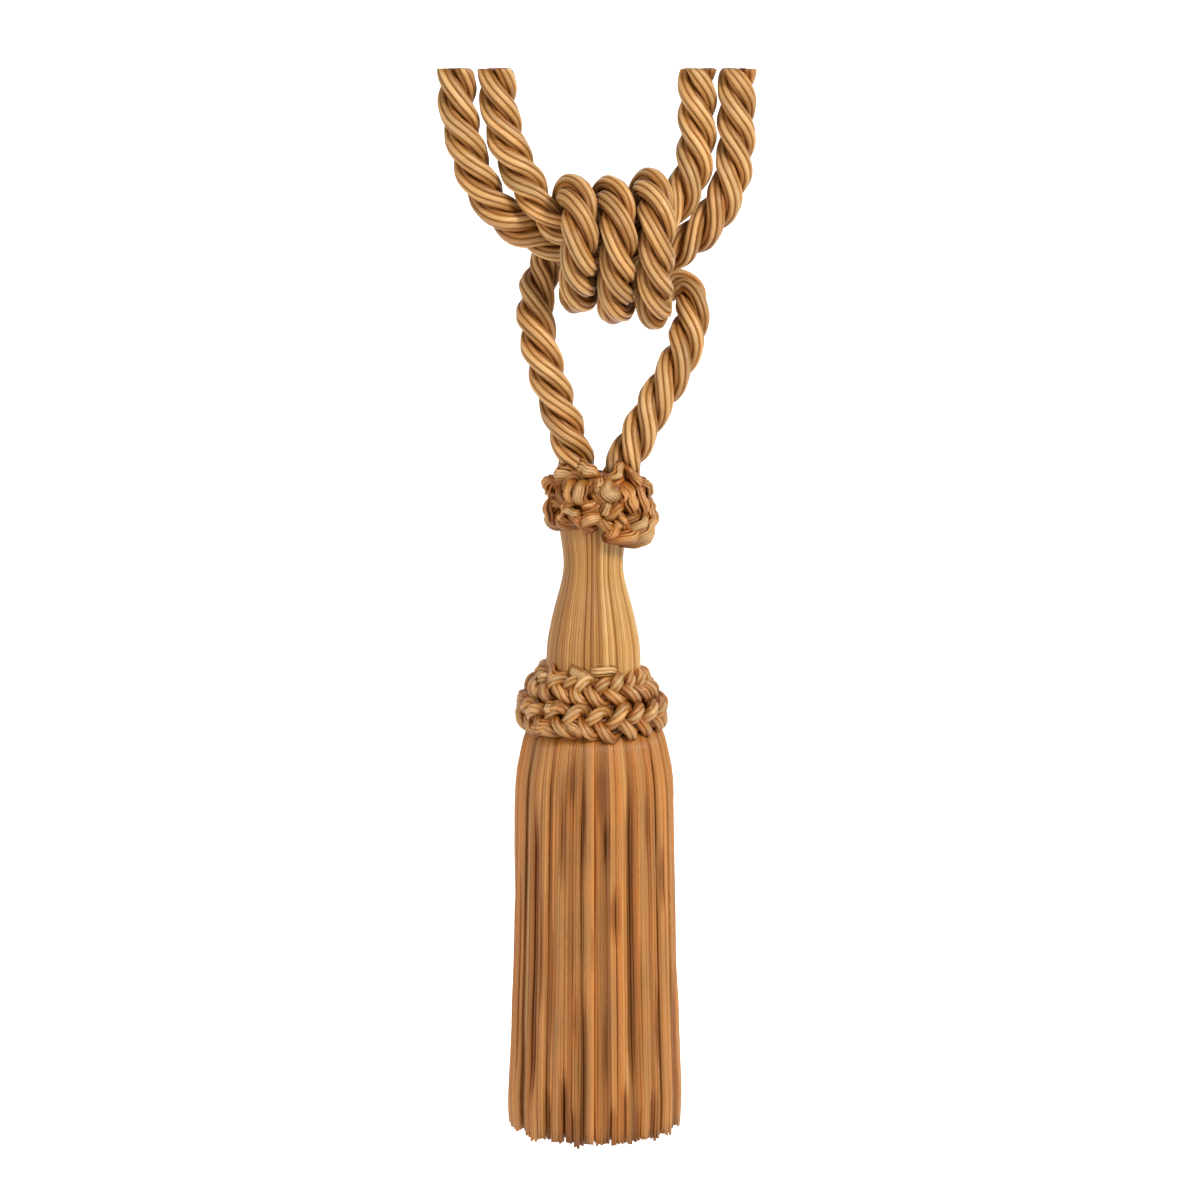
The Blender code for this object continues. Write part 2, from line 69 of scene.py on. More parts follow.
# ================================================================ finishes
class NodeSheet:
    """Lays out the shader nodes of one material."""

    def __init__(self, name: str) -> None:
        """Start a material with its plain surface shader.

        Args:
            name: the material's name.
        """
        self.material = bpy.data.materials.new(name)
        self.material.use_nodes = True
        self.tree = self.material.node_tree
        self.surface = self.tree.nodes["Principled BSDF"]

    def feed(self, node: bpy.types.Node, values: dict) -> None:
        """Feed a node.

        Args:
            node: the node.
            values: socket names or numbers, each with a plain value or a socket to link.
        """
        for key, value in values.items():
            if isinstance(value, bpy.types.NodeSocket):
                self.tree.links.new(value, node.inputs[key])
            else:
                node.inputs[key].default_value = value

    def add(self, kind: str, values: dict | None = None, **settings) -> bpy.types.Node:
        """Add a node.

        Args:
            kind: the node's type.
            values: what it is fed with.
            settings: the node's own properties.

        Returns:
            The new node.
        """
        node = self.tree.nodes.new(kind)
        for name, value in settings.items():
            setattr(node, name, value)
        self.feed(node, values or {})
        return node

    def maths(self, operation: str, first, second=0.0, third=0.0) -> bpy.types.NodeSocket:
        """Add a sum of sockets or numbers and give its result."""
        node = self.add("ShaderNodeMath", {0: first, 1: second, 2: third}, operation=operation)
        return node.outputs[0]

    def times(self, first, second) -> bpy.types.NodeSocket:
        """Multiply two sockets or numbers."""
        return self.maths("MULTIPLY", first, second)

    def times_and_add(self, first, second, third) -> bpy.types.NodeSocket:
        """Multiply two sockets or numbers and add a third."""
        return self.maths("MULTIPLY_ADD", first, second, third)

    def noise(self, place: bpy.types.NodeSocket, roughness: float) -> bpy.types.NodeSocket:
        """Add soft noise that is read at a place."""
        values = {"Vector": place, "Scale": 1.0, "Detail": 2.0, "Roughness": roughness}
        return self.add("ShaderNodeTexNoise", values).outputs["Fac"]

    def kept(self, name: str) -> bpy.types.NodeSocket:
        """Read a number that the mesh keeps at each point."""
        node = self.add("ShaderNodeAttribute", attribute_name=name, attribute_type="GEOMETRY")
        return node.outputs["Fac"]


def opaque(colour: Colour) -> tuple[float, float, float, float]:
    """Give a colour its fourth number."""
    return (*colour, 1.0)


@dataclass(frozen=True)
class YarnFinish:
    """A dyed viscose yarn: satin filaments, with painted shade where they lie close and a painted
    highlight on their crests.
    """

    name: str
    # the first colour is painted shade for grooves, the last a painted highlight for crests; body
    # is the yarn's own colour
    groove_shade: Colour
    body: Colour
    crest_highlight: Colour
    roughness: float = 0.40
    roughness_change: float = 0.16  # between the lightest and the darkest streak
    sheen: float = 0.02
    sheen_roughness: float = 0.4
    shine: float = 0.38
    filaments: float = 16.0         # streaks round one yarn
    filament_turn_mm: float = 9.0   # length of yarn in which a filament goes round once
    streaks_per_mm: float = 0.16    # along the yarn
    streak_contrast: float = 0.45
    streak_shift: float = 37.0      # how differently yarns of unlike tone are streaked
    relief_mm: float = 0.10
    relief_strength: float = 0.6
    tone_spread: float = 0.30
    hue_spread: float = 0.12
    blue_loss: float = 2.2          # how much more blue than green a redder yarn loses
    cloud_per_m: Point = (70.0, 70.0, 70.0)     # how fast the dye drifts in each direction

    def material(self) -> bpy.types.Material:
        """Make the yarn's material.

        Returns:
            The material, which reads the mesh's lay, tone, hue and depth; depth picks painted
            groove shade, the body colour or a painted crest highlight.
        """
        sheet = NodeSheet(self.name)
        lay = sheet.add("ShaderNodeUVMap", uv_map="lay").outputs[0]
        along, around, _ = sheet.add("ShaderNodeSeparateXYZ", {0: lay}).outputs
        tone = sheet.kept("tone")
        turned = sheet.times_and_add(along, 1.0 / self.filament_turn_mm, around)
        spot = sheet.add("ShaderNodeCombineXYZ", {
            0: sheet.times(along, self.streaks_per_mm), 1: sheet.times(turned, self.filaments),
            2: sheet.times(tone, self.streak_shift),
        })
        streaks = sheet.noise(spot.outputs[0], 0.6)
        place = {0: sheet.add("ShaderNodeTexCoord").outputs["Object"], 1: self.cloud_per_m}
        place = sheet.add("ShaderNodeVectorMath", place, operation="MULTIPLY")
        cloud = sheet.maths("SUBTRACT", sheet.noise(place.outputs[0], 0.5), 0.5)
        streak = sheet.maths("SUBTRACT", streaks, 0.5)
        # painted shade and highlight: the mesh's depth, with the streaks, runs from painted groove
        # shade through body to a painted crest highlight
        depth = sheet.times_and_add(streak, self.streak_contrast, sheet.kept("depth"))
        ramp = sheet.add("ShaderNodeValToRGB", {0: depth})
        ramp.color_ramp.interpolation = "EASE"
        ramp.color_ramp.elements[0].color = opaque(self.groove_shade)
        ramp.color_ramp.elements[1].color = opaque(self.crest_highlight)
        ramp.color_ramp.elements.new(0.5).color = opaque(self.body)
        strength = sheet.times_and_add(sheet.maths("ADD", cloud, tone), self.tone_spread, 1.0)
        redness = sheet.maths("ADD", cloud, sheet.kept("hue"))
        less_green = sheet.times_and_add(redness, -self.hue_spread, 1.0)
        less_blue = sheet.times_and_add(redness, -self.blue_loss * self.hue_spread, 1.0)
        shade = sheet.add("ShaderNodeCombineXYZ", {
            0: strength, 1: sheet.times(strength, less_green), 2: sheet.times(strength, less_blue),
        })
        colour = sheet.add(
            "ShaderNodeMix", {0: 1.0, 6: ramp.outputs[0], 7: shade.outputs[0]},
            data_type="RGBA", blend_type="MULTIPLY",
        )
        smoothest = self.roughness - self.roughness_change / 2.0
        bump = sheet.add("ShaderNodeBump", {
            "Height": streaks, "Strength": self.relief_strength, "Distance": self.relief_mm * MM,
        })
        sheet.feed(sheet.surface, {
            "Base Color": colour.outputs[2],
            "Roughness": sheet.times_and_add(streaks, self.roughness_change, smoothest),
            "Normal": bump.outputs[0],
            "Sheen Weight": self.sheen,
            "Sheen Roughness": self.sheen_roughness,
            "Sheen Tint": opaque(self.crest_highlight),
            "Specular IOR Level": self.shine,
        })
        return sheet.material


# each finish: painted groove shade, its own body colour and a painted crest highlight
ROPE_YARN = YarnFinish(
    "rope_yarn", groove_shade=(0.175, 0.049, 0.005), body=(0.300, 0.121, 0.024),
    crest_highlight=(0.575, 0.330, 0.129), tone_spread=0.48, shine=0.28,
)
TRIM_YARN = YarnFinish(
    "trim_yarn", groove_shade=(0.115, 0.025, 0.002), body=(0.300, 0.106, 0.015),
    crest_highlight=(0.52, 0.280, 0.102), roughness=0.38, tone_spread=0.50, hue_spread=0.30,
    cloud_per_m=(120.0, 120.0, 120.0),
)
HEAD_YARN = YarnFinish(
    "head_yarn", groove_shade=(0.24, 0.084, 0.013), body=(0.36, 0.158, 0.035),
    crest_highlight=(0.55, 0.300, 0.103), sheen=0.08, filaments=10.0,
    filament_turn_mm=60.0, hue_spread=0.16, cloud_per_m=(160.0, 160.0, 12.0),
)
FRINGE_YARN = YarnFinish(
    "fringe_yarn", groove_shade=(0.205, 0.064, 0.007), body=(0.292, 0.102, 0.016),
    crest_highlight=(0.425, 0.186, 0.049), roughness=0.42, sheen=0.06, tone_spread=0.55,
    hue_spread=0.20, filaments=6.0, filament_turn_mm=8.0, relief_mm=0.16,
    cloud_per_m=(190.0, 190.0, 45.0),
)


# ================================================================ curves and placing
def eased(share: Array) -> Array:
    """Cut a share off at 0 and 1 and let it start and stop gently."""
    share = np.clip(share, 0.0, 1.0)
    return share * share * (3.0 - 2.0 * share)


def travelled(points: Array) -> Array:
    """Measure how far along its line each point is."""
    runs = np.linalg.norm(np.diff(points, axis=0), axis=1)
    return np.concatenate(((0.0,), np.cumsum(runs)))


def faced(sides: int) -> Array:
    """Say how far each side of a yarn faces outward, from -1 to 1."""
    return np.cos(TAU * np.arange(sides) / sides)


def round_axis(axis_x: float, angle: Array, radius: Array, z: Array) -> tuple[Array, Array]:
    """Place points round an upright axis.

    Args:
        axis_x: where the axis stands.
        angle: from +X towards the back.
        radius: from the axis.
        z: heights.

    Returns:
        The points, and the directions from the axis to them.
    """
    outward = np.stack((np.cos(angle), np.sin(angle), np.zeros_like(angle)), axis=-1)
    points = np.asarray(radius)[..., None] * outward
    points[..., 0] += axis_x
    points[..., 2] = z
    return points, outward


def smooth_route(route: Route, steps: int = 14) -> Array:
    """Run a smooth curve through a route's points (centripetal Catmull-Rom).

    Args:
        route: the points, in millimetres.
        steps: points of the curve between two points of the route.

    Returns:
        The curve's points, one row each.
    """
    knots = np.array(route, dtype=float)
    knots = np.vstack((2.0 * knots[0] - knots[1], knots, 2.0 * knots[-1] - knots[-2]))
    curve = []
    for index in range(1, len(knots) - 2):
        corners = knots[index - 1:index + 3]
        gaps = np.sqrt(np.linalg.norm(np.diff(corners, axis=0), axis=1))
        times = np.concatenate(((0.0,), np.cumsum(gaps)))
        for step in range(steps):
            time = times[1] + (times[2] - times[1]) * step / steps
            layer = list(corners)
            for spans in (((0, 1), (1, 2), (2, 3)), ((0, 2), (1, 3)), ((1, 2),)):
                layer = [
                    layer[place] + (layer[place + 1] - layer[place])
                    * (time - times[start]) / (times[stop] - times[start])
                    for place, (start, stop) in enumerate(spans)
                ]
            curve.append(layer[0])
    curve.append(knots[-2])
    return np.array(curve)


def even_line(curve: Array, spacing: float) -> tuple[Array, Array]:
    """Place points at even distances along a curve.

    Args:
        curve: the curve's points.
        spacing: about how far apart the new points are.

    Returns:
        The new points, and the distance of each along the curve.
    """
    reached = travelled(curve)
    distances = np.linspace(0.0, reached[-1], max(3, round(reached[-1] / spacing)) + 1)
    points = [np.interp(distances, reached, curve[:, axis]) for axis in range(3)]
    return np.stack(points, axis=1), distances


def unit(vectors: Array) -> Array:
    """Scale vectors to a length of 1, along their last axis."""
    return vectors / np.maximum(np.linalg.norm(vectors, axis=-1, keepdims=True), 1e-9)


def without(vectors: Array, direction: Array) -> Array:
    """Take out the part of some vectors that lies along a unit direction."""
    return vectors - direction * np.sum(vectors * direction, axis=-1, keepdims=True)


def carried_frames(points: Array) -> tuple[Array, Array, Array]:
    """Carry a pair of cross directions along a line without twisting them.

    Args:
        points: the line's points; both ends run straight up or down.

    Returns:
        Tangents and the two cross directions, one row for each point.
    """
    tangents = unit(np.gradient(points, axis=0))
    for end in (0, -1):
        tangents[end] = (0.0, 0.0, math.copysign(1.0, tangents[end][2]))
    normals = [Vector(tangents[0]).cross(Vector((0.0, 1.0, 0.0))).normalized()]
    for before, after in zip(map(Vector, tangents), map(Vector, tangents[1:])):
        normal = before.rotation_difference(after) @ normals[-1]
        normals.append((normal - after * normal.dot(after)).normalized())
    normals = np.array([tuple(normal) for normal in normals])
    return tangents, normals, np.cross(tangents, normals)


def ring_points(centres: Array, tangents: Array, outward: Array, radii: Array,
                sides: int) -> Array:
    """Lay a ring of points round every station of some yarns.

    Args:
        centres: the stations.
        tangents: the yarns' directions, of the same shape.
        outward: which way the first point of a ring faces, of the same shape.
        radii: one for each station.
        sides: points in a ring.

    Returns:
        The centres' shape with the sides before its last axis.
    """
    first = unit(without(outward, tangents))
    second = np.cross(tangents, first)
    angles = TAU * np.arange(sides)[:, None] / sides
    spokes = first[..., None, :] * np.cos(angles) + second[..., None, :] * np.sin(angles)
    return centres[..., None, :] + radii[..., None, None] * spokes


def patch_corners(grid: Array) -> tuple[Array, ...]:
    """Give the four corners of every patch of a grid."""
    return grid[:-1, :-1], grid[1:, :-1], grid[1:, 1:], grid[:-1, 1:]


def placed(name: str, data: bpy.types.ID) -> bpy.types.Object:
    """Put a new object into the scene.

    Args:
        name: its name.
        data: its mesh, light or camera.

    Returns:
        The object.
    """
    thing = bpy.data.objects.new(name, data)
    bpy.context.scene.collection.objects.link(thing)
    return thing


# ================================================================ yarn meshes
class YarnMesh:
    """Gathers yarns into one mesh that keeps their lay, tone, hue and depth, the last being
    painted shade and highlight.
    """

    def __init__(self) -> None:
        """Start with no yarn."""
        self.points: list[Array] = []
        self.faces: list[tuple[int, ...]] = []
        self.lays: list[Array] = []
        # depth holds painted shade in grooves and a painted highlight on crests
        self.kept: dict[str, list[Array]] = {"tone": [], "hue": [], "depth": []}
        self.caps: list[int] = []
        self.count = 0

    def add_points(self, points: Array, tones: Array, hues: Array, painted_shading: Array) -> Array:
        """Add points and what they keep.

        Args:
            points: in millimetres, yarn after yarn.
            tones: how light each yarn is, about -0.5 to 0.5.
            hues: how red each yarn is, about -0.5 to 0.5.
            painted_shading: painted shade and highlight, 0 in a groove to 1 on a crest, for each
                point.

        Returns:
            The points' numbers, in the points' shape.
        """
        shape = points.shape[:-1]
        numbers = self.count + np.arange(math.prod(shape)).reshape(shape)
        self.points.append(points.reshape(-1, 3))
        for key, values in (("tone", tones), ("hue", hues)):
            self.kept[key].append(np.repeat(values, numbers.size // np.size(values)))
        self.kept["depth"].append(np.broadcast_to(painted_shading, shape).reshape(-1))
        self.count += numbers.size
        return numbers

    def add_faces(self, faces: Array, lays: Array) -> None:
        """Add faces of one size with the lay of each corner."""
        self.faces.extend(map(tuple, faces.reshape(-1, faces.shape[-1]).tolist()))
        self.lays.append(lays.reshape(-1, 2))

    def add(self, rings: Array, along: Array, tones: Array, hues: Array, painted_shading: Array
            ) -> None:
        """Add yarns as closed tubes.

        Args:
            rings: stations by sides by 3 for one yarn, or yarns before these for a batch.
            along: distance of each station along its yarn.
            tones: one for each yarn.
            hues: one for each yarn.
            painted_shading: painted shade and highlight, one for each point.
        """
        rings = rings.reshape(-1, *rings.shape[-3:])
        sides = rings.shape[2]
        along = np.broadcast_to(along, rings.shape[:2])
        numbers = self.add_points(rings, tones, hues, painted_shading)
        beside = np.roll(numbers, -1, axis=2)
        quads = (numbers[:, :-1], beside[:, :-1], beside[:, 1:], numbers[:, 1:])
        start, stop, near = np.broadcast_arrays(
            along[:, :-1, None], along[:, 1:, None], np.arange(sides) / sides,
        )
        far = near + 1.0 / sides
        lays = (start, near, start, far, stop, far, stop, near)
        self.add_faces(np.stack(quads, axis=-1), np.stack(lays, axis=-1))
        for yarn, reached in zip(numbers, along):
            for cap, end in ((yarn[0, ::-1], reached[0]), (yarn[-1], reached[-1])):
                self.caps.append(len(self.faces))
                self.add_faces(cap, np.full((sides, 2), (end, 0.5)))

    def add_strip(self, strip: Array, along: Array, tone: float, depth: Array) -> None:
        """Add one laid yarn as an open strip.

        Args:
            strip: rows by columns by 3.
            along: distance of each row along the yarn.
            tone: its tone; a lighter one is less red.
            depth: painted shade and highlight, one for each column.
        """
        numbers = self.add_points(strip, tone, -tone, depth)
        columns = strip.shape[1]
        lay = np.broadcast_arrays(along[:, None], np.arange(columns) / (columns - 1) / 2.0)
        lays = np.stack(patch_corners(np.stack(lay, axis=-1)), axis=2)
        self.add_faces(np.stack(patch_corners(numbers), axis=-1), lays)

    def make(self, name: str, finish: YarnFinish) -> bpy.types.Object:
        """Turn what was gathered into one dressed object.

        Args:
            name: the piece's name.
            finish: its yarn.

        Returns:
            The new object.
        """
        mesh = bpy.data.meshes.new(name)
        mesh.from_pydata(np.concatenate(self.points) * MM, [], self.faces)
        smooth = np.ones(len(self.faces), dtype=bool)
        smooth[self.caps] = False
        mesh.polygons.foreach_set("use_smooth", smooth)
        layer = mesh.uv_layers.new(name="lay")
        layer.data.foreach_set("uv", np.concatenate(self.lays).astype(np.float32).ravel())
        for key, values in self.kept.items():
            kept = mesh.attributes.new(key, "FLOAT", "POINT")
            kept.data.foreach_set("value", np.concatenate(values).astype(np.float32))
        mesh.materials.append(finish.material())
        piece = placed(name, mesh)
        triangles = sum(len(face) - 2 for face in self.faces)
        LOG.info("%s: %d triangles", name, triangles)
        return piece


@dataclass
class YarnPiece:
    """A sub-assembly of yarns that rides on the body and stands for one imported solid."""

    node: str
    seed: int

    def __post_init__(self) -> None:
        """Start its mesh and its own random numbers."""
        self.mesh = YarnMesh()
        self.chance = np.random.default_rng(self.seed)

    def draw(self, low: float, high: float) -> float:
        """Draw a random number between two numbers."""
        return self.chance.uniform(low, high)

    def waviness(self, number: int, waves: tuple[int, ...], size: float, angle: Array) -> Array:
        """Read a smooth wander, made of a few waves with seeded shares and phases.

        Args:
            number: which of the piece's own wanders.
            waves: how many of each wave go round.
            size: about how far it goes, either way from 0.
            angle: where, in radians; whole turns give the same value.

        Returns:
            One value for each angle.
        """
        chance = np.random.default_rng(self.seed + number)
        total = np.zeros_like(angle)
        for wave in waves:
            share = chance.uniform(0.5, 1.0)
            total += share * np.sin(wave * angle + chance.uniform(0.0, TAU))
        return size * total / math.sqrt(len(waves))

    def fitted(self, name: str, finish: YarnFinish, replaced: bool = True) -> bpy.types.Object:
        """Turn the yarns into the dressed piece.

        Args:
            name: the piece's name.
            finish: its yarn.
            replaced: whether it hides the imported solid.

        Returns:
            The piece.
        """
        piece = self.mesh.make(name, finish)
        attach(piece, BODY)
        if replaced:
            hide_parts(self.node)
        return piece


# ================================================================ ropes
@dataclass(frozen=True)
class Pinch:
    """A stretch where a rope is squeezed thinner."""

    start: float
    stop: float
    share: float


@dataclass(frozen=True)
class HalfTurn:
    """Half a turn of the tassel's cord round the ropes."""

    centre_z: float
    half_span: float
    lean_deg: float


@dataclass
class TwistedRope(YarnPiece):
    """A three-strand rope, each strand of soft plies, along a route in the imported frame."""

    route: Route
    pinches: tuple[Pinch, ...]
    far_end: FarEnd
    radius: float = 6.4
    strands: int = 3
    plies: int = 7
    lay: float = 33.0
    pinch_ramp: float = 9.0
    station_gap: float = 1.15
    strand_middle: float = 3.45     # from the rope's axis
    ply_ring: float = 1.90          # ply centres from the strand's own middle
    ply_radius: float = 1.06
    swell: float = 0.03             # how much a ply's thickness varies
    swell_per_mm: float = 0.9
    flattening: float = 1.05        # how much wider than deep a strand is
    ply_turn_mm: float = 60.0       # length in which a ply goes round its strand
    groove_shade_reach: float = 3.4       # from a crown to where the painted groove shade is darkest
    ply_shade_slope: float = 1.8         # how fast the painted shade deepens between two plies
    ply_shade_floor: float = 0.45        # the darkest painted shade it reaches there
    cut_reach: float = 3.0          # length over which the plies turn level with the cut
    cut_step: float = 0.05          # how much shorter each ply is cut than the one before
    sides: int = 8

    def share_at(self, distances: Array) -> Array:
        """Say how thick the rope is, against its free thickness.

        Args:
            distances: along the rope.

        Returns:
            A share for each distance.
        """
        share = np.ones_like(distances)
        for pinch in self.pinches:
            outside = np.maximum(pinch.start - distances, distances - pinch.stop)
            freed = (1.0 - pinch.share) * eased(outside / self.pinch_ramp)
            share = np.minimum(share, pinch.share + freed)
        return share

    def strand_course(self, line: Array, distances: Array, cross: list[Array],
                      strand: int) -> tuple[Array, Array, Array]:
        """Lay one strand round the rope's axis.

        Args:
            line: the rope's centre line.
            distances: along it.
            cross: its two cross directions.
            strand: which strand.

        Returns:
            The strand's middle line, with its outward and sideways directions.
        """
        crown = TAU * strand / self.strands + math.pi / 3.0 - TAU * distances / self.lay
        cosine, sine = np.cos(crown)[:, None], np.sin(crown)[:, None]
        spoke = cosine * cross[0] + sine * cross[1]
        aside = cosine * cross[1] - sine * cross[0]
        heart = line + self.share_at(distances)[:, None] * self.strand_middle * spoke
        ahead = unit(np.gradient(heart, axis=0))
        outward = unit(without(spoke, ahead))
        return heart, outward, unit(without(without(aside, ahead), outward))

    def build(self) -> bpy.types.Object:
        """Returns:
            The rope's object.
        """
        line, distances = even_line(smooth_route(self.route), self.station_gap)
        tangents, *cross = carried_frames(line)
        share = self.share_at(distances)[:, None]
        to_cut = np.minimum(distances, distances[-1] - distances)
        free = np.clip(to_cut / self.cut_reach, 0.0, 1.0)[:, None]
        for strand in range(self.strands):
            heart, outward, aside = self.strand_course(line, distances, cross, strand)
            start = self.draw(0.0, TAU)
            for ply in range(self.plies + 1):
                turn = start + TAU * ply / self.plies + TAU * distances / self.ply_turn_mm
                turn = turn[:, None]
                ring = self.ply_ring * share if ply < self.plies else 0.0
                offset = outward * np.cos(turn) + aside * (self.flattening * np.sin(turn))
                level = without(offset, tangents)
                centres = heart + ring * (level + (offset - level) * free)
                centres[0] += tangents[0] * self.cut_step * ply
                centres[-1] -= tangents[-1] * self.cut_step * ply
                own = unit(np.gradient(centres, axis=0))
                blend = unit(tangents + (own - tangents) * free)
                wave = np.sin(distances * self.swell_per_mm + self.draw(0.0, TAU))
                radii = self.ply_radius * share[:, 0] * (1.0 + self.swell * wave)
                rings = ring_points(centres, blend, offset, radii, self.sides)
                # painted shade: darker down between the strands and between the plies, lighter on
                # the crowns
                out = np.linalg.norm(rings - line[:, None], axis=-1)
                low = (self.radius * share - out) / self.groove_shade_reach
                bulge = np.linalg.norm(rings - heart[:, None], axis=-1)
                bulge = bulge / (share * (self.ply_ring + self.ply_radius))
                edge = np.clip(1.0 + self.ply_shade_slope * (bulge - 1.0), self.ply_shade_floor, 1.0)
                self.mesh.add(
                    rings, distances, self.draw(-0.55, 0.45), self.draw(-0.5, 0.5),
                    np.clip(1.0 - low, 0.0, 1.0) * edge,
                )
        piece = self.fitted(f"{self.node}_yarn", ROPE_YARN)
        return piece


OUTER_ROUTE: Route = (
    (-43.8, 0.0, 0.0), (-43.8, 0.0, -6.5), (-43.6, 0.0, -13.2), (-42.0, 0.0, -20.5),
    (-38.6, 0.2, -32.0), (-33.6, 0.9, -41.6), (-26.6, 2.3, -48.9), (-18.8, 3.9, -53.3),
    (-12.5, 4.6, -57.1), (-5.4, 5.2, -60.6), (0.7, 5.2, -62.3), (7.0, 5.0, -62.8),
    (13.4, 4.6, -62.6), (19.4, 4.2, -61.8), (24.4, 3.6, -59.6), (28.2, 2.8, -56.8),
    (31.8, 1.8, -53.6), (35.8, 0.8, -49.4), (40.2, 0.2, -43.2), (43.3, 0.0, -35.2),
    (44.8, 0.0, -25.8), (45.0, 0.0, -13.2), (45.0, 0.0, -6.5), (45.0, 0.0, 0.0),
)
INNER_ROUTE: Route = (
    (-31.1, 0.0, 0.0), (-31.0, 0.0, -6.5), (-30.3, 0.0, -13.2), (-28.9, 0.0, -19.5),
    (-27.0, -0.2, -25.8), (-24.0, -0.9, -32.3), (-20.8, -2.4, -38.2), (-18.0, -3.9, -42.6),
    (-14.8, -5.0, -47.0), (-11.0, -5.4, -50.5), (-6.4, -5.4, -52.6), (-1.8, -5.2, -53.2),
    (3.0, -5.0, -53.0), (7.8, -4.7, -52.4), (13.0, -4.4, -52.0), (18.4, -4.1, -50.8),
    (22.9, -3.6, -47.6), (26.6, -2.9, -42.6), (29.3, -1.9, -37.0), (31.4, -0.7, -30.4),
    (32.4, 0.0, -22.6), (32.5, 0.0, -13.2), (32.4, 0.0, -6.5), (32.4, 0.0, 0.0),
)
LEFT_LEG_ROUTE: Route = (
    (-5.6, 3.4, -135.2), (-5.6, 3.4, -131.5), (-6.0, 3.3, -127.2), (-7.8, 2.6, -120.1),
    (-10.1, 1.6, -113.1), (-12.6, 1.0, -105.9), (-14.9, 1.0, -98.7), (-17.4, 2.2, -90.2),
    (-18.8, 4.6, -83.6), (-19.4, 8.0, -77.6), (-18.8, 12.0, -71.6), (-17.0, 15.4, -66.0),
)
RIGHT_LEG_ROUTE: Route = (
    (19.2, 4.4, -77.8), (19.5, 8.2, -76.2), (20.0, 11.8, -73.6), (21.7, 15.0, -71.2),
    (25.6, 16.4, -70.2), (29.6, 15.0, -71.2), (31.2, 11.8, -73.8), (31.2, 8.6, -78.2),
    (30.3, 5.8, -83.8), (28.7, 3.2, -89.2), (26.4, 1.2, -94.4), (23.4, 0.0, -99.9),
    (19.7, -1.0, -106.0), (16.4, -1.8, -112.4), (12.9, -2.6, -118.8), (9.5, -3.2, -125.3),
    (7.6, -3.4, -130.0), (6.8, -3.4, -133.0), (6.6, -3.4, -135.2),
)


@dataclass
class CordTurns:
    """The three turns that the tassel's cord takes round both ropes."""

    radius: float = 12.3
    roundness: float = 2.5
    pitch: float = 12.2
    first_top_x: float = -7.0
    back_shift: float = 2.2
    front_belly: float = 1.5
    step_deg: float = 22.5
    start_deg: float = -90.0
    stop_deg: float = 877.5
    halves: tuple[HalfTurn, ...] = (
        HalfTurn(-50.6, 6.7, 51.0), HalfTurn(-54.8, 6.7, 51.0), HalfTurn(-56.6, 6.7, 48.0),
        HalfTurn(-56.3, 6.9, 43.0), HalfTurn(-58.9, 6.9, 38.0), HalfTurn(-55.0, 6.8, 32.0),
        HalfTurn(-59.8, 6.8, 32.0),
    )

    def half_at(self, position: float) -> HalfTurn:
        """Read the table of half turns between two of its rows.

        Args:
            position: a row number with its fraction.

        Returns:
            The half turn there.
        """
        low = min(max(math.floor(position), 0), len(self.halves) - 2)
        share = min(max(position - low, 0.0), 1.0)
        pairs = zip(astuple(self.halves[low]), astuple(self.halves[low + 1]))
        return HalfTurn(*(first + (second - first) * share for first, second in pairs))

    def point(self, angle_deg: float) -> Point:
        """Place a point of the turns.

        Args:
            angle_deg: 0 at the top, 90 in front, 180 at the bottom, and so on.

        Returns:
            The cord's centre there.
        """
        angle = math.radians(angle_deg)
        half = self.half_at(angle_deg / 180.0 + 1.0)
        outward = Vector((0.0, -math.sin(angle), math.cos(angle)))
        lean = math.radians(half.lean_deg)
        pair = Vector((0.0, -math.sin(lean), math.cos(lean)))
        draw = math.tanh(self.roundness * outward.dot(pair)) / math.tanh(self.roundness)
        x = self.first_top_x + self.pitch * angle_deg / 360.0
        x += self.front_belly * max(0.0, math.sin(angle)) ** 2
        x -= self.back_shift * (1.0 - math.cos(angle))
        centre = Vector((x, 0.0, half.centre_z)) + self.radius * outward
        return tuple(centre + half.half_span * draw * pair)

    def route(self) -> Route:
        """List the whole cord's points.

        Returns:
            The left leg, the turns and the right leg.
        """
        count = round((self.stop_deg - self.start_deg) / self.step_deg)
        turns = [self.point(self.start_deg + self.step_deg * step) for step in range(count + 1)]
        return LEFT_LEG_ROUTE + tuple(turns) + RIGHT_LEG_ROUTE


# ================================================================ head
def profile_radius(profile: Profile, z: Array) -> Array:
    """Read a profile's radius at some heights."""
    heights, radii = np.array(profile)[::-1].T
    return np.interp(z, heights, radii)


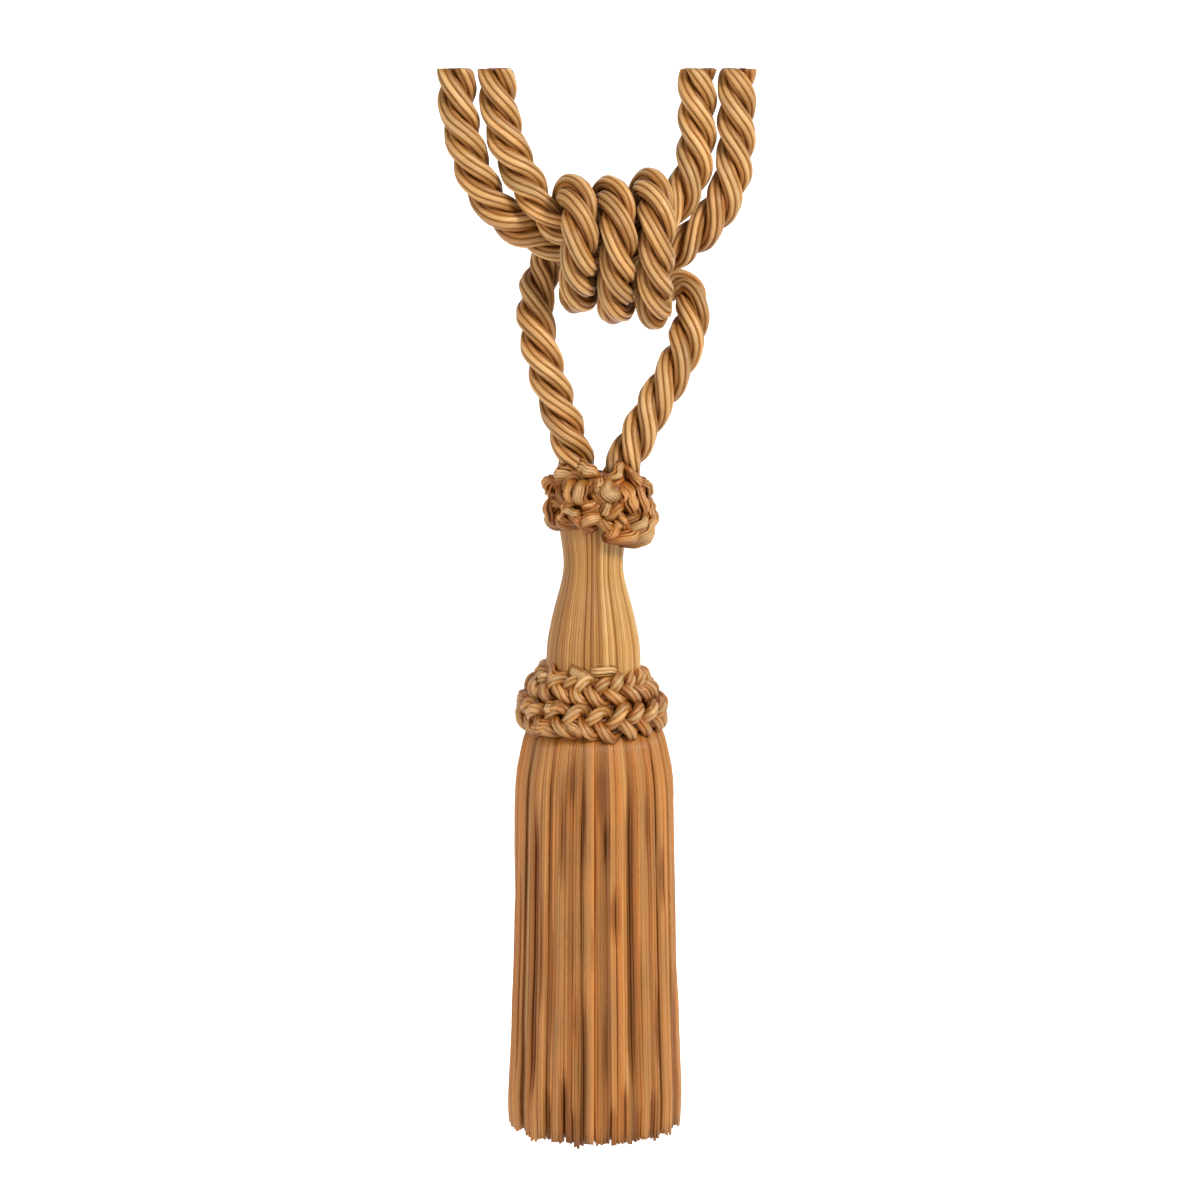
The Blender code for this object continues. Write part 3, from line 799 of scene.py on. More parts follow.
@dataclass
class LaidHead(YarnPiece):
    """The bell-shaped head, covered with yarns laid side by side from top to foot."""

    node: str = "neck"
    seed: int = 17
    axis_x: float = -0.6
    yarns: int = 92
    columns_each: int = 6
    top: float = -135.0
    foot: float = -214.4
    rows: int = 60
    smoothing: tuple[float, ...] = (0.1, 0.2, 0.4, 0.2, 0.1)    # of the profile, over five rows
    crown: tuple[float, ...] = (0.03, 0.30, 0.60, 0.85, 0.96)   # rows drawn in over its top
    crown_rise: float = 1.4
    groove: float = 0.24
    unevenness: float = 0.05
    partings_deg: tuple[float, ...] = (-52.0, -12.0, -3.0, 9.0, 31.0, 62.0, 118.0, 160.0, 205.0)
    parting_width_deg: float = 2.4
    painted_key_light: float = 0.75        # how much lighter the right front is painted than the back, a painted key light
    painted_key_light_deg: float = 40.0    # from the right towards the front
    painted_edge_sheen: float = 0.65       # how much lighter its two sides are painted than its front, a painted sheen
    parting_depth: float = 0.40
    sway: float = 0.02              # how far the yarns lean, in radians over the sway length
    sway_length: float = 80.0
    full_radius: float = 15.0       # of the head where its relief is at full depth
    profile: Profile = (
        (-134.0, 12.3), (-143.0, 11.7), (-150.0, 10.7), (-155.0, 9.9),
        (-158.5, 9.65), (-161.5, 9.7), (-164.6, 10.25), (-167.9, 11.1),
        (-171.2, 12.05), (-174.5, 12.9), (-177.8, 13.7), (-181.1, 14.35),
        (-184.4, 15.0), (-189.4, 15.35), (-196.0, 15.5), (-214.7, 16.2),
    )

    def build(self) -> bpy.types.Object:
        """Build the laid yarns.

        Returns:
            The head's object.
        """
        heights = np.linspace(self.top, self.foot, self.rows)
        curve = profile_radius(self.profile, heights)
        smooth = np.convolve(np.pad(curve, 2, mode="edge"), self.smoothing, "valid")
        drawn = np.array(self.crown)
        smooth = np.concatenate((drawn * smooth[0], smooth))[:, None]
        heights = np.concatenate((self.top + self.crown_rise * np.sqrt(1.0 - drawn), heights))
        columns = self.yarns * self.columns_each
        place = np.arange(columns) / self.columns_each
        number = np.floor(place).astype(int)
        crown = np.sqrt(np.clip(1.0 - (2.0 * (place - number) - 1.0) ** 2, 0.0, 1.0))
        lift = self.chance.normal(0.0, self.unevenness, self.yarns)[number]
        angle = TAU * place / self.yarns
        parted = np.zeros(columns)
        for azimuth in self.partings_deg:
            apart = (np.degrees(angle) - azimuth + 90.0 + 180.0) % 360.0 - 180.0
            parted += np.exp(-(apart / self.parting_width_deg) ** 2)
        sway = self.waviness(2, (3, 7, 13), self.sway, angle)
        turn = angle + sway * (heights[:, None] - self.foot) / self.sway_length
        relief = (crown - 1.0) * self.groove + lift - self.parting_depth * parted
        radius = smooth + relief * (smooth / self.full_radius)
        rings, _ = round_axis(self.axis_x, turn, radius, heights[:, None])
        # painted shade in the partings and between the yarns, a painted highlight on their crowns
        # and on higher yarns
        depth = np.clip(0.50 + 0.18 * crown + 1.2 * lift - 0.6 * parted, 0.0, 1.0)
        middle = angle[::self.columns_each]
        tones = self.waviness(3, (7, 11, 17), 0.35, middle)
        # painted light: the right front is painted lighter where the key lamp falls, and both
        # sides get a painted sheen
        tones = tones + self.painted_key_light * np.cos(middle + math.radians(self.painted_key_light_deg))
        tones = tones + self.painted_edge_sheen * (np.abs(np.cos(middle)) - 0.55)
        tones = tones + self.chance.uniform(-0.2, 0.2, self.yarns)
        for yarn, tone in enumerate(tones):
            span = (yarn * self.columns_each + np.arange(self.columns_each + 1)) % columns
            self.mesh.add_strip(rings[:, span], -heights, tone, depth[span])
        return self.fitted(f"{self.node}_yarn", HEAD_YARN)


# ================================================================ plaited trims
@dataclass(frozen=True)
class Wrap:
    """One round of a plait: where its middle runs and how its face is tilted."""

    z: float
    radius: float
    tilt_deg: float


@dataclass(frozen=True)
class Fold:
    """A loop of yarns that stands out from a trim: a leaf, a crumple or a tucked end."""

    azimuth_deg: float      # of its middle, from the front and to the right
    z: float
    heading_deg: float      # which way its yarns run: 0 to the right, 90 up
    length: float
    width: float
    rise: float
    bend_deg: float = 0.0   # how far its yarns turn, from the middle to an end


@dataclass
class PlaitedTrim(YarnPiece):
    """A three-strand plait that is wound round and sewn down, its ends tucked in behind."""

    axis_x: float
    wraps: tuple[Wrap, ...]
    leaves: float                   # along one edge in a whole turn
    half_width: float
    half_depth: float
    bundle_radius: float
    yarn_radius: float
    yarns: int = 5
    strands: int = 3
    station_gap: float = 0.85
    bundle_turn_mm: float = 26.0
    shade: float = 1.0              # how light the plait is painted between its folds; below 1 it is painted shade under them
    step_deg: float = 70.0          # over which one wrap steps down to the next
    start_azimuth_deg: float = 100.0
    straightness: float = 0.95      # of a leaf: towards 1 its strand turns more sharply
    tuck: float = 3.5               # how far in the plait's two ends are tucked
    tuck_turns: float = 0.05
    wander: float = 0.5
    crumple: float = 1.0
    crumple_azimuth_deg: float = 225.0
    tilt_drop: float = 1.1
    back_drop: float = 0.0          # how much lower its back lies than its front
    folds: tuple[Fold, ...] = ()
    seat: Profile = ()              # what the folds are sewn down on
    bed: Profile = ()               # plain yarns that run round behind the plait
    bed_yarn: float = 1.35
    # the bed yarns are painted darker, a painted shade behind the plait
    bed_painted_shade: float = 0.22
    fold_yarn: float = 0.60
    fold_stations: int = 19
    fold_sides: int = 6
    creases: float = 1.0            # how crumpled the folds are
    sides: int = 8

    def dropped(self, z: Array, azimuth: Array) -> Array:
        """Lower some heights where the trim hangs lower, at a side or at the back."""
        back = self.back_drop * (1.0 + np.sin(azimuth)) / 2.0
        return z - self.tilt_drop * np.cos(azimuth) - back

    def course(self, turns: Array) -> tuple[Array, Array, Array]:
        """Run the plait's middle line.

        Args:
            turns: how many turns along, from 0 to the number of wraps.

        Returns:
            Middle points, face normals and directions across the plait.
        """
        azimuth = math.radians(self.start_azimuth_deg) + TAU * turns
        ramp = self.step_deg / 360.0
        level = sum(eased((turns - row) / ramp + 0.5) for row in range(1, len(self.wraps)))
        rows = np.arange(len(self.wraps))
        z = np.interp(level, rows, [wrap.z for wrap in self.wraps])
        radius = np.interp(level, rows, [wrap.radius for wrap in self.wraps])
        tilt = np.radians(np.interp(level, rows, [wrap.tilt_deg for wrap in self.wraps]))
        to_end = np.minimum(turns, len(self.wraps) - turns)
        radius = radius - self.tuck * np.clip(1.0 - to_end / self.tuck_turns, 0.0, 1.0) ** 2
        radius = radius + self.waviness(0, (3, 5, 8), 0.35 * self.wander, azimuth)
        z = z + self.waviness(1, (2, 5, 7, 11), 0.55 * self.wander, TAU * turns)
        middle, radial = round_axis(self.axis_x, azimuth, radius, self.dropped(z, azimuth))
        up = np.array((0.0, 0.0, 1.0))
        cosine, sine = np.cos(tilt)[:, None], np.sin(tilt)[:, None]
        return middle, radial * cosine + up * sine, up * cosine - radial * sine

    def crumpled(self, turns: Array) -> Array:
        """Say how crumpled the plait is; 1 is its usual unevenness."""
        azimuth = np.radians(self.start_azimuth_deg - self.crumple_azimuth_deg) + TAU * turns
        return 1.0 + self.crumple * np.clip(np.cos(azimuth), 0.0, 1.0) ** 2

    def build(self) -> bpy.types.Object:
        """Build the plait.

        Returns:
            The trim's object.
        """
        mean = sum(wrap.radius for wrap in self.wraps) / len(self.wraps)
        length = TAU * mean * len(self.wraps)
        turns = np.linspace(0.0, len(self.wraps), round(length * 1.3 / self.station_gap))
        middle, normal, across = self.course(turns)
        rough = self.crumpled(turns)
        self.add_bed()
        waves = (4, 9, 14, 23)
        round_all = TAU * turns / len(self.wraps)
        for strand in range(self.strands):
            shift = self.waviness(10 + strand, waves, 0.16 * self.wander, round_all)
            wide = self.waviness(20 + strand, waves, 0.12 * self.wander, TAU * turns / 2.0)
            bump = self.waviness(30 + strand, (7, 16, 27), 0.30 * self.wander, TAU * turns / 2.0)
            phase = TAU * (turns * self.leaves / self.strands + strand / self.strands)
            phase = phase + rough * shift
            width = self.half_width * (1.0 + rough * wide)
            depth = self.half_depth * np.sin(2.0 * phase) + rough * bump
            swing = np.arcsin(self.straightness * np.sin(phase)) / math.asin(self.straightness)
            heart = middle + across * (width * swing)[:, None] + normal * depth[:, None]
            self.add_bundle(heart, normal, middle)
        for fold in self.folds:
            self.add_fold(fold)
        return self.fitted(f"{self.node}_yarn", TRIM_YARN)

    def add_bed(self) -> None:
        """Add the plain yarns that close the trim behind the plait."""
        angle = np.linspace(0.0, TAU, 97)
        radii = np.full(len(angle), self.bed_yarn)
        for height, middle in self.bed:
            radius = middle + 0.25 * np.sin(9.0 * angle + self.draw(0.0, TAU))
            z = self.dropped(height, angle)
            centres, outward = round_axis(self.axis_x, angle, radius, z)
            ahead = np.cross((0.0, 0.0, 1.0), outward)
            rings = ring_points(centres, ahead, outward, radii, self.sides)
            tone, hue = self.draw(-0.3, 0.3), self.draw(-0.2, 0.5)
            # painted shade: the bed yarns get one dark depth, as they lie in shade behind the
            # plait
            self.mesh.add(rings, 20.0 * angle, tone, hue, self.bed_painted_shade)

    def add_bundle(self, heart: Array, normal: Array, middle: Array) -> None:
        """Add one strand of the plait: a bundle of yarns with a slow twist.

        Args:
            heart: the strand's centre line.
            normal: the plait's face normals along it.
            middle: the plait's middle line.
        """
        tangent = unit(np.gradient(heart, axis=0))
        first = unit(without(normal, tangent))
        second = np.cross(tangent, first)
        along = travelled(heart)
        start = self.draw(0.0, TAU)
        edge = self.bundle_radius + self.yarn_radius
        radii = self.yarn_radius * (1.0 + 0.04 * np.sin(along * 1.7))
        for number in range(self.yarns + 1):
            turn = start + TAU * number / self.yarns + TAU * along / self.bundle_turn_mm
            spoke = np.cos(turn)[:, None] * first + np.sin(turn)[:, None] * second
            ring = self.bundle_radius if number < self.yarns else 0.0
            centres = heart + ring * spoke
            own = unit(np.gradient(centres, axis=0))
            rings = ring_points(centres, own, spoke, radii, self.sides)
            rise = np.sum((rings - middle[:, None]) * normal[:, None], axis=-1)
            bulge = np.linalg.norm(rings - heart[:, None], axis=-1)
            # painted shade lower down and between the yarns, a painted highlight on the outer
            # bulge; shade darkens it under the folds
            painted_shading = 0.05 + 0.72 * rise / (self.half_depth + edge) + 0.9 * (bulge / edge - 0.75)
            self.mesh.add(
                rings, along, self.draw(-0.4, 0.4), self.draw(-0.5, 0.5),
                np.clip(self.shade * painted_shading, 0.06, 1.0),
            )

    def add_fold(self, fold: Fold) -> None:
        """Add one fold: yarns side by side that rise from the seat and dive back.

        Args:
            fold: the fold.
        """
        chance = self.chance
        steps = np.linspace(-1.0, 1.0, self.fold_stations)
        heading = np.radians(fold.heading_deg + fold.bend_deg * steps)
        ahead = np.stack((np.cos(heading), np.sin(heading)), axis=-1)
        path = np.cumsum((ahead[1:] + ahead[:-1]) / 2.0, axis=0)
        path = np.vstack(((0.0, 0.0), path)) * fold.length / (len(steps) - 1)
        path = path - path[len(steps) // 2]
        beside = np.stack((-ahead[:, 1], ahead[:, 0]), axis=-1)
        lanes = np.linspace(-1.0, 1.0, max(3, round(fold.width / (1.45 * self.fold_yarn))))
        slip = 0.22 * steps[None, :] * (1.0 - lanes[:, None] ** 2)
        narrowing = 1.0 - 0.30 * steps ** 2 - 0.25 * steps ** 6
        spread = (lanes[:, None] + slip) * narrowing * (fold.width / 2.0 - self.fold_yarn)
        flat = path[None] + beside[None] * spread[..., None]
        for wave in (2.0, 3.4, 5.2):
            phase = chance.uniform(0.0, TAU) + chance.uniform(0.3, 1.1) * lanes[:, None]
            push = chance.normal(0.0, self.creases / wave, 2)
            flat = flat + push * np.sin(wave * steps + phase)[..., None]
        arch = (1.0 - steps ** 2) ** 0.6 * (1.0 - 0.50 * lanes[:, None] ** 2)
        rise = fold.rise * arch - 2.4 * steps ** 6
        for wave in (3.1, 5.7, 8.3):
            phase = chance.uniform(0.0, TAU) + chance.uniform(0.4, 1.4) * lanes[:, None]
            size = chance.normal(0.0, 0.8 * self.creases / math.sqrt(wave))
            rise = rise + size * np.sin(wave * steps + phase) * (1.0 - steps ** 2)
        rise = rise + chance.normal(0.0, 0.16, len(lanes))[:, None]
        z = fold.z + flat[..., 1]
        radius = profile_radius(self.seat, z) + rise
        azimuth = math.radians(fold.azimuth_deg - 90.0) + flat[..., 0] / radius
        centres, outward = round_axis(self.axis_x, azimuth, radius, z)
        own = unit(np.gradient(centres, axis=1))
        radii = np.broadcast_to(self.fold_yarn * (1.0 - 0.35 * steps ** 6), z.shape)
        rings = ring_points(centres, own, outward, radii, self.fold_sides)
        # painted shade where a fold dives at its ends and along its edges, a painted highlight on
        # its arch and outward faces
        painted_shading = -0.05 + 0.90 * arch[..., None] + 0.16 * faced(self.fold_sides)
        tone = self.draw(-0.3, 0.3) + chance.uniform(-0.2, 0.2, len(lanes))
        hue = self.draw(-0.5, 0.5) + chance.uniform(-0.1, 0.1, len(lanes))
        along = (steps + 1.0) * fold.length / 2.0
        self.mesh.add(rings, along, tone, hue, np.clip(painted_shading, 0.0, 1.0))


def scattered_folds(rows: tuple[float, ...], each: int, clear_deg: float,
                    seed: int) -> tuple[Fold, ...]:
    """Scatter folds round the sides and the back, where the photograph shows none.

    Args:
        rows: the heights at which folds lie.
        each: how many folds a whole row would have.
        clear_deg: how far either side of the front is left alone.
        seed: for the random numbers.

    Returns:
        The folds.
    """
    chance = np.random.default_rng(seed)
    folds = []
    for z in rows:
        shift = chance.uniform(0.0, 360.0 / each)
        for number in range(each):
            azimuth = (shift + 360.0 * number / each + chance.uniform(-6.0, 6.0)) % 360.0
            if clear_deg < azimuth < 360.0 - clear_deg:
                height = z + chance.uniform(-1.0, 1.0)
                rest = [chance.uniform(low, high) for low, high in SCATTERED_FOLD]
                folds.append(Fold(azimuth, height, *rest))
    return tuple(folds)


# the lowest and the highest heading, length, width, rise and bend of a scattered fold
SCATTERED_FOLD = ((-55.0, 55.0), (7.5, 11.0), (3.6, 6.4), (1.9, 3.4), (-25.0, 25.0))
RUFF_SEAT = ((-123.0, 12.2), (-128.0, 13.9), (-140.0, 14.5), (-150.0, 13.2))
RUFF_FRONT_FOLDS = tuple(Fold(*row) for row in (
    (-48.5, -127.9, -26.0, 9.0, 4.2, 2.6, -14.0),   # top edge, left
    (-14.0, -126.6, -28.0, 8.4, 4.4, 2.4, -12.0),   # top edge, in front of the cord
    (24.0, -127.4, 38.0, 7.4, 3.4, 2.2, 10.0),      # top edge, between the legs
    (53.0, -129.4, -42.0, 9.1, 4.4, 2.6, -10.0),    # top edge, right
    (0.0, -131.6, 68.0, 7.6, 3.4, 1.9),             # deep, behind the middle loop
    (-9.0, -137.6, 20.0, 7.0, 3.0, 1.4),
    (-76.0, -132.8, 14.0, 7.6, 5.0, 4.0, 10.0),     # knob on the left outline
    (-74.0, -140.6, 88.0, 10.0, 4.8, 2.8),
    (-70.0, -141.4, 92.0, 10.0, 4.0, 4.3, 42.0),     # ring with a dark middle, low left
    (-46.0, -141.0, 86.0, 8.4, 3.0, 2.6, -42.0),
    (-35.0, -139.8, -18.0, 6.6, 3.2, 2.5),
    (-34.5, -133.6, 97.0, 8.8, 4.8, 3.5, 10.0),     # the square loop
    (-21.0, -134.0, 78.0, 9.0, 5.0, 4.0, -8.0),
    (-7.5, -142.3, 8.0, 6.4, 4.2, 2.8, 14.0),       # knob, low middle
    (9.6, -138.8, 55.0, 5.6, 3.4, 2.8),
    (14.5, -133.4, -72.0, 9.0, 6.2, 3.9, 12.0),     # the middle loop
    (29.0, -134.2, 92.0, 6.4, 3.2, 3.2),
    (40.0, -136.2, 110.0, 12.0, 4.8, 3.9, -14.0),   # the big loop on the right
    (54.0, -137.4, 99.0, 12.6, 5.0, 4.3, -20.0),
    (72.0, -133.8, 140.0, 7.6, 4.6, 3.8, 10.0),     # knob on the right outline
    (84.0, -140.5, 80.0, 9.6, 5.0, 3.2),
    (30.0, -142.2, -35.0, 7.0, 3.3, 3.1),           # across, above the tucked end
    (22.0, -145.6, 64.0, 6.6, 4.0, 2.8, 12.0),
    (42.0, -148.2, 12.0, 12.0, 5.4, 4.2, 10.0),     # the tucked end
    (62.0, -146.6, 34.0, 13.0, 6.6, 7.0, 14.0),
    (54.0, -144.4, 22.0, 11.0, 5.0, 4.8, 10.0),
    (68.0, -149.0, 24.0, 11.0, 5.4, 5.8, 10.0),
    (80.0, -144.6, 60.0, 11.0, 5.6, 5.4, 16.0),
    (77.0, -141.2, 66.0, 8.4, 4.6, 4.0, 8.0),       # behind the right outline
))
COLLAR_SEAT = (
    (-190.0, 14.4), (-193.0, 15.0), (-197.7, 17.4), (-204.4, 21.4),
    (-211.0, 22.7), (-216.0, 22.0),
)
RUFF_BED = (
    (-129.0, 10.9), (-131.4, 11.2), (-133.8, 11.4), (-136.2, 11.5),
    (-138.6, 11.5), (-141.0, 11.4), (-143.4, 11.2),
)
COLLAR_BED = (
    (-196.4, 15.2), (-198.4, 16.2), (-200.6, 17.5), (-202.8, 18.7),
    (-205.0, 19.6), (-207.2, 20.0), (-209.4, 20.2),
)
COLLAR_FOLDS = tuple(Fold(*row) for row in (
    (-47.0, -193.9, -32.0, 9.0, 4.4, 2.4, -12.0),
    (-59.0, -198.8, 24.0, 9.4, 4.2, 2.6, 14.0),
    (-34.0, -202.6, 10.0, 8.8, 4.4, 3.0, -10.0),
    (-78.0, -205.6, 76.0, 9.0, 5.0, 2.6, 10.0),
    (-43.0, -209.6, -12.0, 9.0, 4.6, 3.0, 8.0),
    (-14.0, -208.9, -22.0, 8.0, 4.6, 2.8),
    (-15.0, -192.6, -25.0, 8.6, 4.0, 2.2),
    (14.0, -191.7, -18.0, 8.0, 3.8, 2.0, -10.0),
))


# ================================================================ cut fringe
@dataclass(frozen=True)
class FringeLayer:
    """One layer of fringe yarns, counted from the outside."""

    yarns: int
    inset: float
    shortfall: float
    parted: float = 1.0     # how much of the partings it takes part in


@dataclass(frozen=True)
class Parting:
    """A groove between two locks of the fringe, open over a part of its fall."""

    azimuth_deg: float      # from the front, to the right
    top: float              # share of the fall at which it opens
    bottom: float           # share at which it closes
    width: float
    depth: float
    tone: float             # of the lock on its right


FRONT_PARTINGS = tuple(Parting(*row) for row in (
    (-66.4, 0.30, 0.90, 0.7, 1.2, -0.20), (-46.4, 0.14, 0.95, 1.1, 1.9, 0.10),
    (-33.0, 0.86, 1.30, 1.3, 1.5, 0.25), (-24.4, 0.05, 0.40, 0.8, 1.3, -0.05),
    (-21.4, 0.80, 1.30, 1.5, 2.0, -0.05), (-17.1, 0.02, 0.20, 0.7, 1.2, -0.10),
    (-13.5, 0.60, 0.78, 0.5, 0.8, -0.15), (-7.9, 0.03, 0.36, 0.8, 1.4, -0.05),
    (-7.4, 0.58, 1.30, 1.0, 1.8, -0.10), (4.5, 0.02, 0.24, 0.9, 1.6, -0.25),
    (7.9, 0.16, 0.33, 1.4, 1.5, -0.25), (7.0, 0.62, 0.90, 0.4, 0.8, -0.15),
    (14.9, 0.34, 0.52, 0.8, 1.4, 0.35), (20.7, 0.82, 1.30, 1.3, 1.4, 0.20),
    (25.9, 0.08, 0.88, 1.6, 2.4, 0.00), (34.0, 0.45, 0.90, 0.4, 0.7, -0.10),
    (41.7, 0.08, 0.34, 0.6, 1.1, 0.20), (42.6, 0.86, 1.30, 1.3, 1.5, 0.05),
    (48.5, 0.60, 0.84, 0.7, 1.1, 0.15), (56.3, 0.24, 0.46, 0.9, 1.5, 0.10),
    (68.0, 0.55, 1.30, 0.8, 1.3, 0.20), (-57.0, 0.70, 1.30, 0.9, 1.2, -0.05),
    (-40.0, 0.34, 0.72, 0.3, 0.7, 0.15), (-29.0, 0.40, 0.80, 0.3, 0.8, -0.15),
    (-2.0, 0.40, 0.62, 0.3, 0.7, 0.20), (30.5, 0.90, 1.30, 1.0, 1.2, 0.30),
    (11.5, 0.88, 1.30, 0.9, 1.1, 0.10), (-14.5, 0.90, 1.30, 0.9, 1.2, 0.30),
))


def scattered_partings(clear_deg: float, spacing_deg: float, seed: int) -> tuple[Parting, ...]:
    """Scatter partings round the sides and the back, where the photograph shows none.

    Args:
        clear_deg: how far either side of the front is left alone.
        spacing_deg: their usual distance.
        seed: for the random numbers.

    Returns:
        The partings.
    """
    chance = np.random.default_rng(seed)
    partings = []
    azimuth = clear_deg
    while azimuth < 360.0 - clear_deg:
        top = chance.uniform(-0.1, 0.62)
        partings.append(Parting(
            azimuth, top, top + chance.uniform(0.25, 0.95), chance.uniform(0.4, 1.3),
            chance.uniform(0.6, 1.7), chance.uniform(-0.25, 0.35),
        ))
        azimuth += spacing_deg * chance.uniform(0.5, 1.5)
    return tuple(partings)


@dataclass
class CutFringe(YarnPiece):
    """The skirt: fine yarns that hang in uneven locks from under the lower collar."""

    piece_name: str
    layers: tuple[FringeLayer, ...]
    replaced: bool
    axis_x: float = -0.2
    top: float = -212.6
    tips: float = -346.8
    yarn_radius: float = 0.66
    stations: int = 30
    sides: int = 6
    parting_radius: float = 27.0    # at which the partings' widths are measured
    parting_reach: float = 1.50     # how far either side of a parting yarns move
    parting_ramp: float = 0.16      # longest share of the fall over which one opens
    openness: float = 0.50          # how much of a parting's width its yarns leave open
    sink: float = 0.70              # how far in the yarns of a parting lie, against its depth
    gather: float = 1.15            # how deep the shallow folds between partings are
    stray: float = 0.06             # how far single yarns lie in or out
    length_spread: float = 0.36
    sway_mm: float = 0.12
    bound_share: float = 9.0        # a yarn hangs free after its fall over this number
    tip: float = 0.72               # thickness of a yarn's cut tip, against the rest
    lock_contrast: float = 1.3
    painted_light_left: float = 0.55        # how much lighter its left side is painted, a painted light
    partings: tuple[Parting, ...] = FRONT_PARTINGS + scattered_partings(73.0, 6.6, 41)
    profile: Profile = (
        (-212.6, 21.6), (-215.0, 22.7), (-217.7, 23.5), (-221.1, 24.2),
        (-224.4, 25.0), (-227.8, 25.5), (-231.1, 25.8), (-237.8, 26.15),
        (-254.7, 26.5), (-271.6, 26.9), (-288.7, 27.3), (-305.8, 28.0),
        (-323.0, 28.4), (-336.0, 29.0), (-345.4, 28.7),
    )

    def parted(self, angle: Array, share: Array) -> tuple[Array, Array]:
        """Move yarns aside and inwards where the fringe is parted.

        Args:
            angle: one for each yarn.
            share: share of the fall, yarns by stations.

        Returns:
            How far each point moves round and how far it sinks, in millimetres.
        """
        aside = np.zeros_like(share)
        sunk = np.zeros_like(share)
        for parting in self.partings:
            middle = math.radians(parting.azimuth_deg) - math.pi / 2.0
            arc = ((angle - middle + math.pi) % TAU - math.pi) * self.parting_radius
            near = np.exp(-(arc / self.parting_reach) ** 2)[:, None]
            span = min(parting.bottom, 1.0) - parting.top
            ramp = min(self.parting_ramp, span / 2.0)
            window = eased(np.minimum(share - parting.top, parting.bottom - share) / ramp)
            apart = self.openness * parting.width / 2.0
            aside += np.sign(arc)[:, None] * near * window * apart
            sunk += near * window * parting.depth
        return aside, sunk

    def lock_tones(self, angle: Array) -> Array:
        """Give each yarn the tone of the lock that it is in.

        Args:
            angle: one for each yarn.

        Returns:
            Their tones.
        """
        order = sorted(self.partings, key=lambda parting: parting.azimuth_deg % 360.0)
        edges = np.array([parting.azimuth_deg % 360.0 for parting in order])
        tones = np.array([parting.tone for parting in order])
        azimuth = (np.degrees(angle) + 90.0) % 360.0
        return tones[np.searchsorted(edges, azimuth) - 1]

    def add_layer(self, layer: FringeLayer) -> None:
        """Hang one layer of yarns.

        Args:
            layer: which layer.
        """
        chance, count = self.chance, layer.yarns
        angle = TAU * (np.arange(count) + chance.uniform(-0.28, 0.28, count)) / count
        length = self.top - self.tips
        longer = chance.normal(0.0, self.length_spread, count) - layer.shortfall
        longer = longer + self.waviness(5, (3, 11, 19, 31), 0.7, angle)
        share = np.linspace(0.0, 1.0, self.stations) * (1.0 + longer / length)[:, None]
        z = self.top - share * length
        opened = np.minimum(share * self.bound_share, 1.0)
        aside, sunk = self.parted(angle, share)
        reach = profile_radius(self.profile, z) - self.yarn_radius - layer.inset
        gathered = self.gather * self.waviness(6, (17, 29, 43), 1.0, angle)
        loose = chance.normal(0.0, self.stray, count)
        reach = reach + opened * (np.minimum(gathered, 0.0) + loose)[:, None]
        reach = reach - self.sink * layer.parted * opened * sunk
        swing = layer.parted * aside
        for wave in (1.3, 2.6):
            size = chance.normal(0.0, self.sway_mm / wave, count)[:, None]
            phase = chance.uniform(0.0, TAU, (count, 1))
            swing = swing + size * np.sin(TAU * wave * share + phase)
        turned = angle[:, None] + swing * opened / reach
        centres, outward = round_axis(self.axis_x, turned, reach, z)
        own = unit(np.gradient(centres, axis=1))
        taper = np.append(np.ones(self.stations - 1), self.tip)
        radii = self.yarn_radius * chance.uniform(0.88, 1.14, (count, 1)) * taper
        rings = ring_points(centres, own, outward, radii, self.sides)
        # painted shade on inner layers, in partings and in the hollows between locks; a painted
        # highlight on yarns that stand out and on outward faces
        depth = 0.70 - 0.12 * layer.inset + (0.50 * gathered + 0.3 * loose)[:, None] - 0.55 * sunk
        painted_shading = np.clip(depth[..., None] + 0.05 * faced(self.sides), 0.0, 1.0)
        tone = self.lock_contrast * self.lock_tones(angle) + chance.uniform(-0.11, 0.11, count)
        # painted light: the left side is painted lighter
        tone = tone + self.painted_light_left * np.clip(-np.cos(angle), 0.0, 1.0) ** 4
        hue = chance.uniform(-0.20, 0.20, count) + self.waviness(7, (9, 17, 23, 37), 0.4, angle)
        self.mesh.add(rings, -z, tone, hue, painted_shading)

    def build(self) -> bpy.types.Object:
        """Build the fringe's yarns.

        Returns:
            The fringe's object.
        """
        for layer in self.layers:
            self.add_layer(layer)
        return self.fitted(self.piece_name, FRINGE_YARN, self.replaced)


